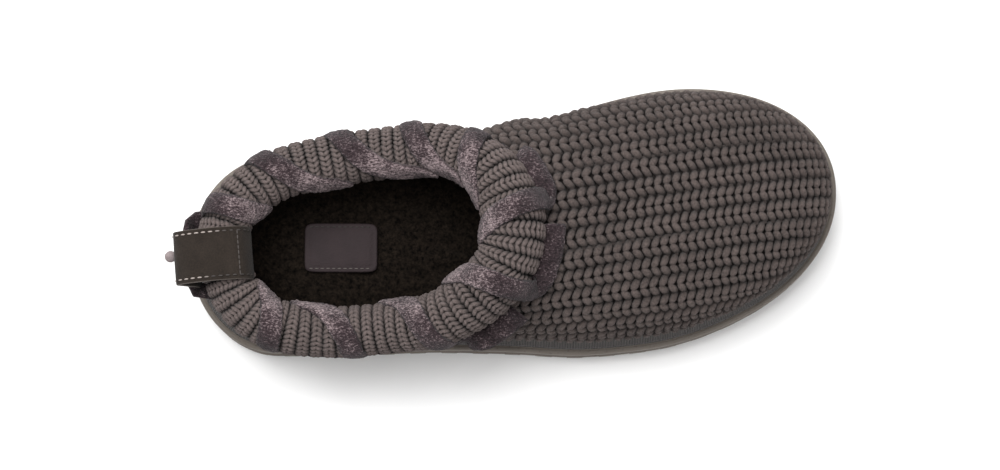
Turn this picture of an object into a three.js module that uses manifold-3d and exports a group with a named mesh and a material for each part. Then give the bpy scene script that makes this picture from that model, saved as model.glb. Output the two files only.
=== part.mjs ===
// A knitted slipper for the right foot: a padded cuff with a suede lace whipped round it,
// a ribbed knitted upper, a ribbon band, a lugged rubber sole, an insole and a heel loop.
// Millimetres. +X runs from heel to toe, +Y to the big-toe side, +Z up. The floor is z = 0.

import * as THREE from "three";
import { mergeVertices } from "three/addons/utils/BufferGeometryUtils.js";
import Module from "manifold-3d";

const wasm = await Module();
wasm.setup();

// Driving dimensions of the sole.
const SOLE_LENGTH = 266;
const BALL_WIDTH = 107;
const SOLE_HEIGHT = 24;
const HEEL_BEVEL = 3;
const ARCH_LIFT = 3;
const TOE_SPRING = 8.5;
const LUG_HEIGHT = 8;
const LUG_PITCH = 13;
const LUG_LENGTH = 7.5;
const LUG_GAP_DEPTH = 2.2;
const LUG_GAP_SHARE = 0.95;
const TREAD_DEPTH = 2;
const TREAD_GROOVE = 3.2;
const SIDE_RELIEF = 2.6;

// Driving dimensions of the upper, its ribbon band and its insole.
const WALL = 4.5;
const INSTEP_HEIGHT = 76;
const BULGE_HEIGHT = 15;
const BULGE_INSET = 4.6;
const WALE_PITCH = 8.2;
const WALE_RELIEF = 1.3;
const TAPE_HEIGHT = 8;
const TAPE_THICKNESS = 1.3;
const TAPE_FOOT_INSET = 2.5;
const TAPE_HEAD_INSET = 6.9;
const INSOLE_THICKNESS = 8.5;
const INSOLE_COVE = 3.5;
const PATCH_LENGTH = 29.6;
const PATCH_WIDTH = 20;
const PATCH_THICKNESS = 1.2;
const PATCH_CORNER = 1.5;
const PATCH_AT = 0.235;
const PATCH_SIDESTEP = 1.2;
const COVE_WIDTH = 9;

// Driving dimensions of the cuff, the lace and the heel loop.
const CUFF_WIDTH = 20;
const THROAT_HEIGHT = 78;
const LACE_WIDTH = 9.2;
const LACE_THICKNESS = 2.6;
const LOOP_WIDTH = 21;
const LOOP_THICKNESS = 1.8;
const GAP = 0.3;
const CRUMB = 0.08;

// Plan of the sole. at is a share of the length, centre and half are shares of the ball width.
const SOLE_PLAN = [
  { at: 0.0, centre: 0.0, half: 0.383 },
  { at: 0.16, centre: 0.0, half: 0.383 },
  { at: 0.3, centre: 0.003, half: 0.38 },
  { at: 0.4, centre: 0.011, half: 0.383 },
  { at: 0.5, centre: 0.043, half: 0.42 },
  { at: 0.6, centre: 0.088, half: 0.477 },
  { at: 0.7, centre: 0.132, half: 0.5 },
  { at: 0.85, centre: 0.191, half: 0.5 },
  { at: 1.0, centre: 0.238, half: 0.5 },
];
// The round ends of the plan: where they start, as shares of the length, and their squareness.
const HEEL_END = { reach: 0.137, power: 2.0 };
const TOE_END = { reach: 0.3, power: 2.1 };

// Top of the sole, as shares of the sole's height.
const SOLE_TOP = [
  { at: 0.0, top: 1.0 },
  { at: 0.2, top: 0.96 },
  { at: 0.42, top: 0.86 },
  { at: 0.6, top: 0.76 },
  { at: 0.78, top: 0.78 },
  { at: 0.9, top: 0.88 },
  { at: 1.0, top: 1.0 },
];
// Where the underside lifts off the floor, as shares of the length.
const UNDERSIDE = { heelFrom: 0.05, archFrom: 0.28, archTo: 0.45, toeFrom: 0.77 };

// Side of the sole from below: inset from the outline as a share of the side's relief, and
// height as a share of the lugs' height above the underside, or of the sole's below the top.
const SOLE_SIDE = [
  { inset: 1.0, base: "under", rise: 0 },
  { inset: 0.08, base: "under", rise: 0.275 },
  { inset: 0.0, base: "under", rise: 1.0 },
  { inset: 0.58, base: "under", rise: 1.11 },
  { inset: 0.35, base: "top", rise: -0.19 },
  { inset: 0.08, base: "top", rise: -0.15 },
  { inset: 0.08, base: "top", rise: -0.0375 },
  { inset: 0.38, base: "top", rise: 0 },
];
// Grooves of the tread: where they lie, as shares of the length, their spacing in lug pitches,
// and their reach across as a share of the sole's width there.
const TREAD_RANGES = [{ from: 0.07, to: 0.26 }, { from: 0.48, to: 0.76 }];
const TREAD_SPACING = 1.2;
const TREAD_REACH = 0.75;

// Last of the upper. ridge is a share of the instep height. medial and lateral are shares of the
// bulge's inset on the big-toe side and on the other side; the arch side swells past the sole.
// power is the squareness of the section.
const LAST = [
  { at: 0.0, ridge: 0.92, medial: 1.65, lateral: 1.65, power: 2.3 },
  { at: 0.188, ridge: 0.93, medial: 1.4, lateral: 1.4, power: 2.4 },
  { at: 0.32, ridge: 0.99, medial: 0.45, lateral: 0.55, power: 3.3 },
  { at: 0.41, ridge: 1.02, medial: -0.25, lateral: 0.6, power: 3.1 },
  { at: 0.5, ridge: 0.99, medial: -0.6, lateral: 0.9, power: 2.6 },
  { at: 0.56, ridge: 0.945, medial: 0.45, lateral: 1.0, power: 2.4 },
  { at: 0.7, ridge: 0.87, medial: 1.0, lateral: 1.0, power: 2.35 },
  { at: 0.86, ridge: 0.765, medial: 1.0, lateral: 1.0, power: 2.35 },
  { at: 1.0, ridge: 0.67, medial: 1.0, lateral: 1.0, power: 2.3 },
];
// The heel's sections fan out from one point of the ridge, and the toe's ridge is a round nose.
const FAN_AT = 0.188;
const NOSE = { from: 0.86, power: 2.5 };
// Rings of the wall below the bulge, as shares of the bulge's height.
const SKIRT_RINGS = [0, 0.533, 0.6, 0.78, 1.0];
// Section of the ribbon band, from its outer foot round to its inner foot.
const TAPE_SECTION = [
  { inset: TAPE_FOOT_INSET, height: 0 },
  { inset: TAPE_HEAD_INSET, height: TAPE_HEIGHT },
  { inset: TAPE_HEAD_INSET + TAPE_THICKNESS, height: TAPE_HEIGHT },
  { inset: TAPE_FOOT_INSET + TAPE_THICKNESS, height: 0 },
];

// Centre line of the padded cuff. across is a share of the ball width, lift a share of the
// throat height and width a share of the cuff's width.
const CUFF_LINE = [
  { at: 0.064, across: -0.005, lift: 0.814, width: 0.92 },
  { at: 0.083, across: 0.135, lift: 0.795, width: 0.98 },
  { at: 0.138, across: 0.25, lift: 0.763, width: 0.97 },
  { at: 0.218, across: 0.31, lift: 0.737, width: 1.0 },
  { at: 0.318, across: 0.346, lift: 0.744, width: 1.0 },
  { at: 0.382, across: 0.354, lift: 0.788, width: 0.98 },
  { at: 0.434, across: 0.316, lift: 0.872, width: 1.0 },
  { at: 0.477, across: 0.215, lift: 0.955, width: 1.12 },
  { at: 0.4985, across: 0.056, lift: 1.0, width: 1.22 },
  { at: 0.4865, across: -0.09, lift: 0.981, width: 1.18 },
  { at: 0.4455, across: -0.201, lift: 0.923, width: 1.17 },
  { at: 0.389, across: -0.282, lift: 0.833, width: 1.06 },
  { at: 0.316, across: -0.31, lift: 0.75, width: 0.96 },
  { at: 0.2255, across: -0.326, lift: 0.731, width: 0.97 },
  { at: 0.143, across: -0.299, lift: 0.756, width: 0.97 },
  { at: 0.092, across: -0.21, lift: 0.788, width: 0.97 },
];
const CUFF_STEPS = 42;
const CUFF_SIDES = 12;
// The opening inside the cuff, as shares of the cuff's halves: how far in from the centre line
// its rim lies, and how deep it reaches.
const OPENING = { rim: 0.5, depth: 0.85 };

// The lace's wraps. starts and ends are shares of the cuff's length: where each leaves the
// outer base of the cuff, and where it crosses the cuff's inner edge.
// steps is the number of straight runs that each is made of.
const LACE_WRAPS = [
  { starts: 0.034, ends: 0.06, steps: 17 },
  { starts: 0.1, ends: 0.168, steps: 12 },
  { starts: 0.195, ends: 0.283, steps: 12 },
  { starts: 0.293, ends: 0.357, steps: 12 },
  { starts: 0.376, ends: 0.42, steps: 13 },
  { starts: 0.47, ends: 0.496, steps: 12 },
  { starts: 0.55, ends: 0.592, steps: 12 },
  { starts: 0.656, ends: 0.7, steps: 12 },
  { starts: 0.766, ends: 0.818, steps: 12 },
  { starts: 0.867, ends: 0.9, steps: 12 },
];

// The climb of a wrap over the cuff: lean is a share of the way from its start to its end, and
// angle is counted round the cuff in radians, up from the outward direction.
const LACE_CLIMB = [
  { lean: 0.12, angle: 0.7 },
  { lean: 0.32, angle: 1.5 },
  { lean: 0.68, angle: 2.25 },
  { lean: 1.0, angle: 2.65 },
  { lean: 1.3, angle: 2.9 },
  { lean: 1.55, angle: 3.3 },
];
// Where the lace lies on the vamp ahead of the cuff, and no longer under it, as shares of the
// cuff's length, and how it lies there: out from the cuff in lace widths, and leaning outwards.
const VAMP_SPAN = { from: 0.38, full: 0.43, until: 0.61, gone: 0.68 };
const VAMP_REACH = 0.42;
const VAMP_LEAN = 0.25;
const LACE_BASE_ANGLE = -1.05;
const LACE_START_ANGLE = -0.05;
const LACE_EASE = 0.45;
const LACE_RUN_IN = 0.75;
const ROUTE_SCALE = 20;
// Section of the lace, in halves of its width and thickness.
const LACE_SECTION = [
  { across: 1, up: 0 },
  { across: 0.86, up: 0.8 },
  { across: 0, up: 1 },
  { across: -0.86, up: 0.8 },
  { across: -1, up: 0 },
  { across: -0.86, up: -0.8 },
  { across: 0, up: -1 },
  { across: 0.86, up: -0.8 },
];

// The heel loop: where it crosses the cuff, and how far it leans to the little-toe side.
const LOOP_SHARE = -0.016;
const LOOP_LEAN = THREE.MathUtils.degToRad(5.1);
// What the loop does to the lace that passes outside its foot: the lace is pushed out, dropped
// and set upright, all along the loop's width and over a fade beyond it.
const LOOP_FADE = 4;
const LOOP_PUSH = 6;
const LOOP_DROP = 7;
const LOOP_LACE_ANGLE = -0.25;
const LOOP_STEPS = 18;
// Profile of the loop in shares of the cuff's width, out and up from the cuff's centre line.
const LOOP_PROFILE = [
  { out: -0.67, up: -0.2 },
  { out: -0.67, up: 0.15 },
  { out: -0.44, up: 0.52 },
  { out: 0.0, up: 0.615 },
  { out: 0.5, up: 0.58 },
  { out: 0.82, up: 0.45 },
  { out: 0.92, up: 0.34 },
  { out: 0.9, up: 0.2 },
  { out: 0.74, up: -0.03 },
  { out: 0.62, up: -0.3 },
  { out: 0.565, up: -0.8 },
];

function mix(a, b, share) {
  return a + (b - a) * share;
}

function clamp(value, low, high) {
  return Math.min(Math.max(value, low), high);
}

function smoothStep(from, to, value) {
  const share = clamp((value - from) / (to - from), 0, 1);
  return share * share * (3 - 2 * share);
}

// A smooth curve through one column of a table, as a function of its at column.
function column(rows, name) {
  const last = rows.length - 1;
  const slope = (i) => {
    const before = rows[Math.max(i - 1, 0)];
    const after = rows[Math.min(i + 1, last)];
    return (after[name] - before[name]) / (after.at - before.at);
  };
  return (at) => {
    let i = 0;
    while (i < last - 1 && at > rows[i + 1].at) i += 1;
    const span = rows[i + 1].at - rows[i].at;
    const t = clamp((at - rows[i].at) / span, 0, 1);
    const keep = (1 + 2 * t) * (1 - t) ** 2 * rows[i][name];
    const reach = t * t * (3 - 2 * t) * rows[i + 1][name];
    const leave = t * (1 - t) ** 2 * span * slope(i);
    const arrive = t * t * (t - 1) * span * slope(i + 1);
    return keep + reach + leave + arrive;
  };
}

const planCentre = column(SOLE_PLAN, "centre");
const planHalf = column(SOLE_PLAN, "half");
const topShare = column(SOLE_TOP, "top");
const ridgeShare = column(LAST, "ridge");
const medialShare = column(LAST, "medial");
const lateralShare = column(LAST, "lateral");
const sectionPower = column(LAST, "power");

// Middle line of the shoe in plan.
function centreAt(x) {
  return planCentre(x / SOLE_LENGTH) * BALL_WIDTH;
}

function soleTop(x) {
  return topShare(x / SOLE_LENGTH) * SOLE_HEIGHT;
}

// Inset of the last's widest line from the sole's outline.
function bulgeAt(x, side) {
  const share = side > 0 ? medialShare : lateralShare;
  return share(x / SOLE_LENGTH) * BULGE_INSET;
}

// The underside is flat on the floor under heel and forefoot, and lifts between and beyond.
function soleUnder(x) {
  const at = x / SOLE_LENGTH;
  const { heelFrom, archFrom, archTo, toeFrom } = UNDERSIDE;
  if (at < heelFrom) return HEEL_BEVEL * ((heelFrom - at) / heelFrom) ** 2;
  if (at > toeFrom) return TOE_SPRING * ((at - toeFrom) / (1 - toeFrom)) ** 1.7;
  if (at < archFrom || at > archTo) return 0;
  return ARCH_LIFT * Math.sin((Math.PI * (at - archFrom)) / (archTo - archFrom)) ** 2;
}

// Stations from the back of the heel to the tip of the toe, closer together at the round ends.
const HEEL_STATIONS = 9;
const BODY_STATIONS = 11;
const TOE_STATIONS = 11;
const STATIONS = HEEL_STATIONS + BODY_STATIONS + TOE_STATIONS;

// A point of the plan outline, moved in by an inset. side is 1 for the big-toe side, -1 for the
// little-toe side. The ends are superellipse quarters and the body lies between them.
function outlinePoint(station, side, inset) {
  const heelReach = HEEL_END.reach * SOLE_LENGTH;
  const toeReach = TOE_END.reach * SOLE_LENGTH;
  const bodyEnd = SOLE_LENGTH - toeReach;
  let x = 0;
  let roundness = 1;
  if (station <= HEEL_STATIONS) {
    const turn = (station / HEEL_STATIONS) * (Math.PI / 2);
    x = inset + (heelReach - inset) * (1 - Math.cos(turn) ** (2 / HEEL_END.power));
    roundness = Math.sin(turn) ** (2 / HEEL_END.power);
  } else if (station <= HEEL_STATIONS + BODY_STATIONS) {
    x = mix(heelReach, bodyEnd, (station - HEEL_STATIONS) / BODY_STATIONS);
  } else {
    const turn = ((station - HEEL_STATIONS - BODY_STATIONS) / TOE_STATIONS) * (Math.PI / 2);
    x = bodyEnd + (toeReach - inset) * Math.sin(turn) ** (2 / TOE_END.power);
    roundness = station === STATIONS ? 0 : Math.cos(turn) ** (2 / TOE_END.power);
  }
  const half = (planHalf(x / SOLE_LENGTH) * BALL_WIDTH - inset) * roundness;
  return { x, y: centreAt(x) + side * half, half };
}

// One closed ring round the shoe: up the big-toe side, back along the little-toe side.
function ringAround(pointAt) {
  const ring = [];
  for (let i = 0; i <= STATIONS; i += 1) ring.push(pointAt(i, 1));
  for (let i = STATIONS - 1; i > 0; i -= 1) ring.push(pointAt(i, -1));
  return ring;
}

// A closed solid from rings of equal length. Each ring is joined to the next. The first and the
// last are closed by a ladder of faces, or joined to each other when the stack is a loop.
function solidOfRings(rings, isLoop = false) {
  const count = rings[0].length;
  const positions = rings.flat().flatMap((point) => [point.x, point.y, point.z]);
  const index = [];
  const last = isLoop ? rings.length : rings.length - 1;
  for (let k = 0; k < last; k += 1) {
    const low = k * count;
    const high = ((k + 1) % rings.length) * count;
    for (let i = 0; i < count; i += 1) {
      const j = (i + 1) % count;
      index.push(low + i, low + j, high + j, low + i, high + j, high + i);
    }
  }
  if (!isLoop) {
    const top = (rings.length - 1) * count;
    for (let i = 0; i < count / 2; i += 1) {
      const near = (count - i) % count;
      const far = count - i - 1;
      index.push(i, near, far, i, far, i + 1);
      index.push(top + i, top + far, top + near, top + i, top + i + 1, top + far);
    }
  }
  const geometry = new THREE.BufferGeometry();
  geometry.setAttribute("position", new THREE.Float32BufferAttribute(positions, 3));
  geometry.setIndex(index);
  return tidyGeometry(geometry);
}

// Merges shared corners, drops flat triangles and turns the faces outwards.
function tidyGeometry(geometry) {
  geometry.deleteAttribute("normal");
  geometry.deleteAttribute("uv");
  const merged = mergeVertices(geometry, 1e-4);
  const position = merged.getAttribute("position");
  const source = merged.getIndex().array;
  let index = [];
  let volume = 0;
  const corner = [new THREE.Vector3(), new THREE.Vector3(), new THREE.Vector3()];
  for (let i = 0; i < source.length; i += 3) {
    const [a, b, c] = [source[i], source[i + 1], source[i + 2]];
    if (a === b || b === c || c === a) continue;
    index.push(a, b, c);
    corner.forEach((point, k) => point.fromBufferAttribute(position, source[i + k]));
    volume += corner[0].dot(corner[1].cross(corner[2]));
  }
  if (volume < 0) index = index.reverse();
  merged.setIndex(index);
  return merged;
}

function toSolid(geometry) {
  const vertProperties = new Float32Array(geometry.getAttribute("position").array);
  const triVerts = new Uint32Array(geometry.getIndex().array);
  return new wasm.Manifold(new wasm.Mesh({ numProp: 3, vertProperties, triVerts }));
}

function toGeometry(solid) {
  const mesh = solid.getMesh();
  const geometry = new THREE.BufferGeometry();
  const position = new THREE.Float32BufferAttribute(mesh.vertProperties, mesh.numProp);
  geometry.setAttribute("position", position);
  geometry.setIndex(Array.from(mesh.triVerts));
  return geometry;
}

// The largest body of a cut solid, without the crumbs of a cut, its seams thinned out.
function largestOf(solid) {
  const pieces = solid.decompose().sort((a, b) => b.volume() - a.volume());
  return pieces[0].simplify(CRUMB);
}

// Sole: stacked outlines with stepped sides, then the gaps between the lugs and the tread.
function soleRing({ inset, base, rise }) {
  return ringAround((station, side) => {
    const { x, y } = outlinePoint(station, side, inset * SIDE_RELIEF);
    const below = soleUnder(x) + rise * LUG_HEIGHT;
    return { x, y, z: base === "top" ? soleTop(x) + rise * SOLE_HEIGHT : below };
  });
}

function block(length, depth, height) {
  return tidyGeometry(new THREE.BoxGeometry(length, depth, height));
}

// Points at one pitch along the sole's edge, each with the direction of the edge.
function lugGapPlaces() {
  const edge = ringAround((station, side) => outlinePoint(station, side, 0));
  const path = new THREE.CatmullRomCurve3(
    edge.map(({ x, y }) => new THREE.Vector3(x, y, 0)), true, "centripetal");
  const count = Math.round(path.getLength() / LUG_PITCH);
  const places = [];
  for (let i = 0; i < count; i += 1) {
    const share = (i + 0.5) / count;
    const tangent = path.getTangentAt(share);
    places.push({ point: path.getPointAt(share), turn: Math.atan2(tangent.y, tangent.x) });
  }
  return places;
}

function makeOutsole() {
  let sole = toSolid(solidOfRings(SOLE_SIDE.map(soleRing)));
  const gapHeight = LUG_HEIGHT * LUG_GAP_SHARE;
  const cuts = lugGapPlaces().map(({ point, turn }) => {
    const cut = block(LUG_PITCH - LUG_LENGTH, LUG_GAP_DEPTH * 2, gapHeight * 2);
    cut.rotateZ(turn);
    cut.translate(point.x, point.y, soleUnder(point.x));
    return cut;
  });
  for (const { from, to } of TREAD_RANGES) {
    const count = Math.floor(((to - from) * SOLE_LENGTH) / (LUG_PITCH * TREAD_SPACING));
    for (let i = 0; i <= count; i += 1) {
      const x = mix(from, to, i / count) * SOLE_LENGTH;
      const half = planHalf(x / SOLE_LENGTH) * BALL_WIDTH;
      const groove = block(TREAD_GROOVE, half * 2 * TREAD_REACH, TREAD_DEPTH * 2);
      groove.translate(x, centreAt(x), 0);
      cuts.push(groove);
    }
  }
  for (const cut of cuts) sole = sole.subtract(toSolid(cut));
  return toGeometry(sole);
}

// Inset of the upper's outer face at a height above the sole: it flares out under the ribbon,
// is drawn in at the ribbon's top and swells out again above it.
function skirtInset(height, bulge) {
  const foot = TAPE_FOOT_INSET + TAPE_THICKNESS + 2 * GAP;
  const head = TAPE_HEAD_INSET + TAPE_THICKNESS + 2 * GAP;
  if (height <= TAPE_HEIGHT) return mix(foot, head, height / TAPE_HEIGHT);
  const share = (height - TAPE_HEIGHT) / (BULGE_HEIGHT - TAPE_HEIGHT);
  return bulge + (head - bulge) * (1 - share) ** 2;
}

// Height of the ridge line, which ends in a round nose at the toe.
function ridgeHeight(x, shrink) {
  const tip = SOLE_LENGTH - BULGE_INSET - shrink;
  const from = NOSE.from * SOLE_LENGTH;
  const foot = soleTop(x) + GAP + BULGE_HEIGHT;
  const full = ridgeShare(x / SOLE_LENGTH) * INSTEP_HEIGHT - shrink;
  const share = clamp((x - from) / (tip - from), 0, 1);
  return foot + (full - foot) * (1 - share ** NOSE.power) ** (1 / NOSE.power);
}

function bulgeInset(station, side) {
  return bulgeAt(outlinePoint(station, side, BULGE_INSET).x, side);
}

const DOME_STEPS = 24;

// One section of the last: the dome from the ridge down to the bulge, as a fine chain of points,
// and the direction in plan that faces away from the foot. shrink moves the section in, for the
// lining side of the wall.
function domeSection(station, side, shrink) {
  const edge = outlinePoint(station, side, bulgeInset(station, side) + shrink);
  const spineX = Math.max(edge.x, FAN_AT * SOLE_LENGTH);
  const spine = new THREE.Vector3(spineX, centreAt(spineX), ridgeHeight(spineX, shrink));
  const foot = soleTop(edge.x) + GAP + BULGE_HEIGHT;
  const power = sectionPower(edge.x / SOLE_LENGTH);
  const points = [];
  for (let k = 0; k <= DOME_STEPS; k += 1) {
    const turn = (k / DOME_STEPS) * (Math.PI / 2);
    const out = Math.sin(turn) ** (2 / power);
    const up = k === DOME_STEPS ? 0 : Math.cos(turn) ** (2 / power);
    points.push(new THREE.Vector3(
      mix(spine.x, edge.x, out), mix(spine.y, edge.y, out), mix(foot, spine.z, up)));
  }
  const outward = new THREE.Vector3(edge.x - spine.x, edge.y - spine.y, 0).normalize();
  return { points, outward, half: edge.half, length: chainLength(points) };
}

function chainLength(points) {
  return points.reduce((sum, point, i) => sum + (i ? point.distanceTo(points[i - 1]) : 0), 0);
}

// The sections of all stations, in the order of a ring round the shoe.
function domeSections(shrink) {
  return ringAround((station, side) => domeSection(station, side, shrink));
}

// A point of the dome at a distance from the ridge, measured over the knit, raised or sunk by
// the ribs. The ribs fade out at the bulge and at the tip of the toe.
function walePoint({ points, outward, half, length }, distance, crest) {
  let left = Math.min(distance, length);
  let i = 1;
  while (i < points.length - 1 && left > points[i].distanceTo(points[i - 1])) {
    left -= points[i].distanceTo(points[i - 1]);
    i += 1;
  }
  const step = Math.max(points[i].distanceTo(points[i - 1]), 1e-9);
  const tangent = points[i].clone().sub(points[i - 1]).normalize();
  const point = points[i - 1].clone().lerp(points[i], Math.min(left / step, 1));
  const fade = clamp((length - distance) / WALE_PITCH, 0, 1);
  const toeFade = outward.x < 0 ? 1 : clamp(half / (WALE_PITCH * 2), 0, 1);
  const rise = crest * WALE_RELIEF * fade * toeFade;
  point.addScaledVector(outward, -tangent.z * rise);
  point.z += tangent.dot(outward) * rise;
  return point;
}

// A ring of the wall below the bulge, at a height above the sole, moved in by shrink.
function skirtRing(height, shrink) {
  return ringAround((station, side) => {
    const bulge = bulgeInset(station, side);
    const { x, y } = outlinePoint(station, side, skirtInset(height, bulge) + shrink);
    return new THREE.Vector3(x, y, soleTop(x) + GAP + height);
  });
}

// Outer face of the upper: ribs a wale's pitch apart over the dome, with their crests on every
// second ring, then the swelling above the ribbon and the flared edge behind it.
function makeUpperOutside(shrink) {
  const sections = domeSections(shrink);
  const rows = Math.floor(Math.max(...sections.map(({ length }) => length)) / (WALE_PITCH / 2));
  const rings = SKIRT_RINGS.map((share) => skirtRing(share * BULGE_HEIGHT, shrink));
  for (let row = rows; row >= 0; row -= 1) {
    const crest = row % 2 === 0 ? 0.5 : -0.5;
    rings.push(sections.map((section) => walePoint(section, (row * WALE_PITCH) / 2, crest)));
  }
  return toSolid(solidOfRings(rings));
}

// The room for the foot, reaching below the upper so that its underside is open.
function makeUpperInside(shrink) {
  const sections = domeSections(shrink);
  const skirts = SKIRT_RINGS.map((share) => skirtRing(share * BULGE_HEIGHT, shrink));
  const below = skirts[0].map(({ x, y, z }) => new THREE.Vector3(x, y, z - WALL));
  const picks = [20, 17, 14, 11, 8, 4, 0];
  const domes = picks.map((pick) => sections.map(({ points }) => points[pick]));
  return toSolid(solidOfRings([below, ...skirts, ...domes]));
}

const cuffPath = new THREE.CatmullRomCurve3(CUFF_LINE.map(({ at, across, lift }) =>
  new THREE.Vector3(at * SOLE_LENGTH, across * BALL_WIDTH, lift * THROAT_HEIGHT)), true);

// The cuff's frame at a share of its length: centre, outward and upward directions, and radii.
function cuffFrame(share) {
  const at = ((share % 1) + 1) % 1;
  const centre = cuffPath.getPointAt(at);
  const tangent = cuffPath.getTangentAt(at);
  const outward = new THREE.Vector3(-tangent.y, tangent.x, 0).normalize();
  const upward = new THREE.Vector3().crossVectors(tangent, outward).normalize();
  if (upward.z < 0) upward.negate();
  const slot = cuffPath.getUtoTmapping(at) * CUFF_LINE.length;
  const low = Math.floor(slot) % CUFF_LINE.length;
  const next = (low + 1) % CUFF_LINE.length;
  const between = smoothStep(0, 1, slot - Math.floor(slot));
  const width = mix(CUFF_LINE[low].width, CUFF_LINE[next].width, between);
  const halfWidth = (CUFF_WIDTH * width) / 2;
  const halfHeight = (CUFF_WIDTH / 2 + halfWidth) / 2;
  return { centre, tangent, outward, upward, halfWidth, halfHeight };
}

// A point of the cuff's skin, at an angle up from the outward direction, lifted off by some.
function cuffPoint(share, angle, lift) {
  const { centre, outward, upward, halfWidth, halfHeight } = cuffFrame(share);
  return centre.clone()
    .addScaledVector(outward, Math.cos(angle) * (halfWidth + lift))
    .addScaledVector(upward, Math.sin(angle) * (halfHeight + lift));
}

function cuffGeometry(lift) {
  const rings = [];
  for (let k = 0; k < CUFF_STEPS; k += 1) {
    const ring = [];
    for (let i = 0; i < CUFF_SIDES; i += 1) {
      ring.push(cuffPoint(k / CUFF_STEPS, (i / CUFF_SIDES) * Math.PI * 2, lift));
    }
    rings.push(ring);
  }
  return solidOfRings(rings, true);
}

// The opening inside the cuff, from under its inner edge upwards.
function openingSolid() {
  const low = [];
  const high = [];
  for (let k = 0; k < CUFF_STEPS; k += 1) {
    const { centre, outward, halfWidth, halfHeight } = cuffFrame(k / CUFF_STEPS);
    const rim = centre.clone().addScaledVector(outward, -halfWidth * OPENING.rim);
    low.push(new THREE.Vector3(rim.x, rim.y, centre.z - halfHeight * OPENING.depth));
    high.push(new THREE.Vector3(rim.x, rim.y, THROAT_HEIGHT * 2));
  }
  return toSolid(solidOfRings([low, high]));
}

function makeUpper() {
  const wall = makeUpperOutside(0).subtract(makeUpperInside(WALL));
  const open = wall.subtract(openingSolid()).subtract(toSolid(cuffGeometry(GAP)));
  return toGeometry(largestOf(open));
}

// Ribbon band: lies on the flared edge of the upper, its head tucked in under the knit.
function makeTape() {
  const rings = TAPE_SECTION.map(({ inset, height }) => ringAround((station, side) => {
    const { x, y } = outlinePoint(station, side, inset);
    return new THREE.Vector3(x, y, soleTop(x) + GAP + height);
  }));
  return solidOfRings(rings, true);
}

// Top of the flat part of the insole.
function insoleTop(x) {
  return soleTop(x) + GAP + INSOLE_THICKNESS;
}

// Insole: a slab on the sole, its edge risen in a cove against the lining.
function makeInsole() {
  const edge = (height) => skirtRing(height, WALL + GAP);
  const coveTop = INSOLE_THICKNESS + INSOLE_COVE;
  const flat = ringAround((station, side) => {
    const bulge = bulgeInset(station, side);
    const inset = skirtInset(coveTop, bulge) + WALL + GAP + COVE_WIDTH;
    const { x, y } = outlinePoint(station, side, inset);
    return new THREE.Vector3(x, y, insoleTop(x));
  });
  return solidOfRings([edge(0), edge(TAPE_HEIGHT), edge(coveTop), flat]);
}

// Bare leather patch on the insole: a plate with round corners that follows the insole.
function makePatch() {
  const [halfLength, halfWidth, corner] = [PATCH_LENGTH / 2, PATCH_WIDTH / 2, PATCH_CORNER];
  const outline = new THREE.Shape();
  outline.moveTo(-halfLength + corner, -halfWidth);
  outline.lineTo(halfLength - corner, -halfWidth);
  outline.quadraticCurveTo(halfLength, -halfWidth, halfLength, -halfWidth + corner);
  outline.lineTo(halfLength, halfWidth - corner);
  outline.quadraticCurveTo(halfLength, halfWidth, halfLength - corner, halfWidth);
  outline.lineTo(-halfLength + corner, halfWidth);
  outline.quadraticCurveTo(-halfLength, halfWidth, -halfLength, halfWidth - corner);
  outline.lineTo(-halfLength, -halfWidth + corner);
  outline.quadraticCurveTo(-halfLength, -halfWidth, -halfLength + corner, -halfWidth);
  const geometry = new THREE.ExtrudeGeometry(outline, {
    depth: PATCH_THICKNESS, bevelEnabled: false, curveSegments: 3 });
  const x = PATCH_AT * SOLE_LENGTH;
  const slope = (insoleTop(x + halfLength) - insoleTop(x - halfLength)) / PATCH_LENGTH;
  geometry.rotateY(-Math.atan(slope));
  geometry.translate(x, centreAt(x) + PATCH_SIDESTEP, insoleTop(x) + GAP);
  return tidyGeometry(geometry);
}

// Height of the upper's outer face over a place in plan, ahead of the heel's fan.
function vampHeight(x, y) {
  const side = y > centreAt(x) ? 1 : -1;
  const half = planHalf(x / SOLE_LENGTH) * BALL_WIDTH - bulgeAt(x, side);
  const across = clamp(((y - centreAt(x)) * side) / half, 0, 1);
  const power = sectionPower(x / SOLE_LENGTH);
  const foot = soleTop(x) + GAP + BULGE_HEIGHT;
  return foot + (ridgeHeight(x, 0) - foot) * (1 - across ** power) ** (1 / power);
}

// Where the lace lies along the outer base of the cuff: under the cuff's swell at the sides,
// flat on the vamp at the front, and over the foot of the loop at the heel.
function laceBase(share) {
  const { centre, outward, halfWidth, halfHeight } = cuffFrame(share);
  const upward = new THREE.Vector3(0, 0, 1);
  const fromHeel = share > 0.5 ? share - 1 : share;
  const fromLoop = Math.abs(fromHeel - LOOP_SHARE) * cuffPath.getLength();
  const loopEdge = LOOP_WIDTH / 2;
  const push = 1 - smoothStep(loopEdge, loopEdge + LOOP_FADE, fromLoop);
  const { from, full, until, gone } = VAMP_SPAN;
  const front = smoothStep(from, full, share) * (1 - smoothStep(until, gone, share));
  const lift = GAP + LACE_THICKNESS / 2 + LACE_EASE;
  const angle = mix(LACE_BASE_ANGLE, LOOP_LACE_ANGLE, push);
  const under = centre.clone()
    .addScaledVector(outward, Math.cos(angle) * (halfWidth + lift) + push * LOOP_PUSH)
    .addScaledVector(upward, Math.sin(angle) * (halfHeight + lift) - push * LOOP_DROP);
  const ahead = centre.clone().addScaledVector(outward, halfWidth + LACE_WIDTH * VAMP_REACH);
  ahead.z = Math.max(vampHeight(ahead.x, ahead.y) + WALE_RELIEF / 2 + lift, under.z);
  const underNormal = outward.clone().multiplyScalar(Math.cos(angle))
    .addScaledVector(upward, Math.sin(angle));
  const aheadNormal = outward.clone().multiplyScalar(VAMP_LEAN).add(upward).normalize();
  return { point: under.lerp(ahead, front), normal: underNormal.lerp(aheadNormal, front) };
}

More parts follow.
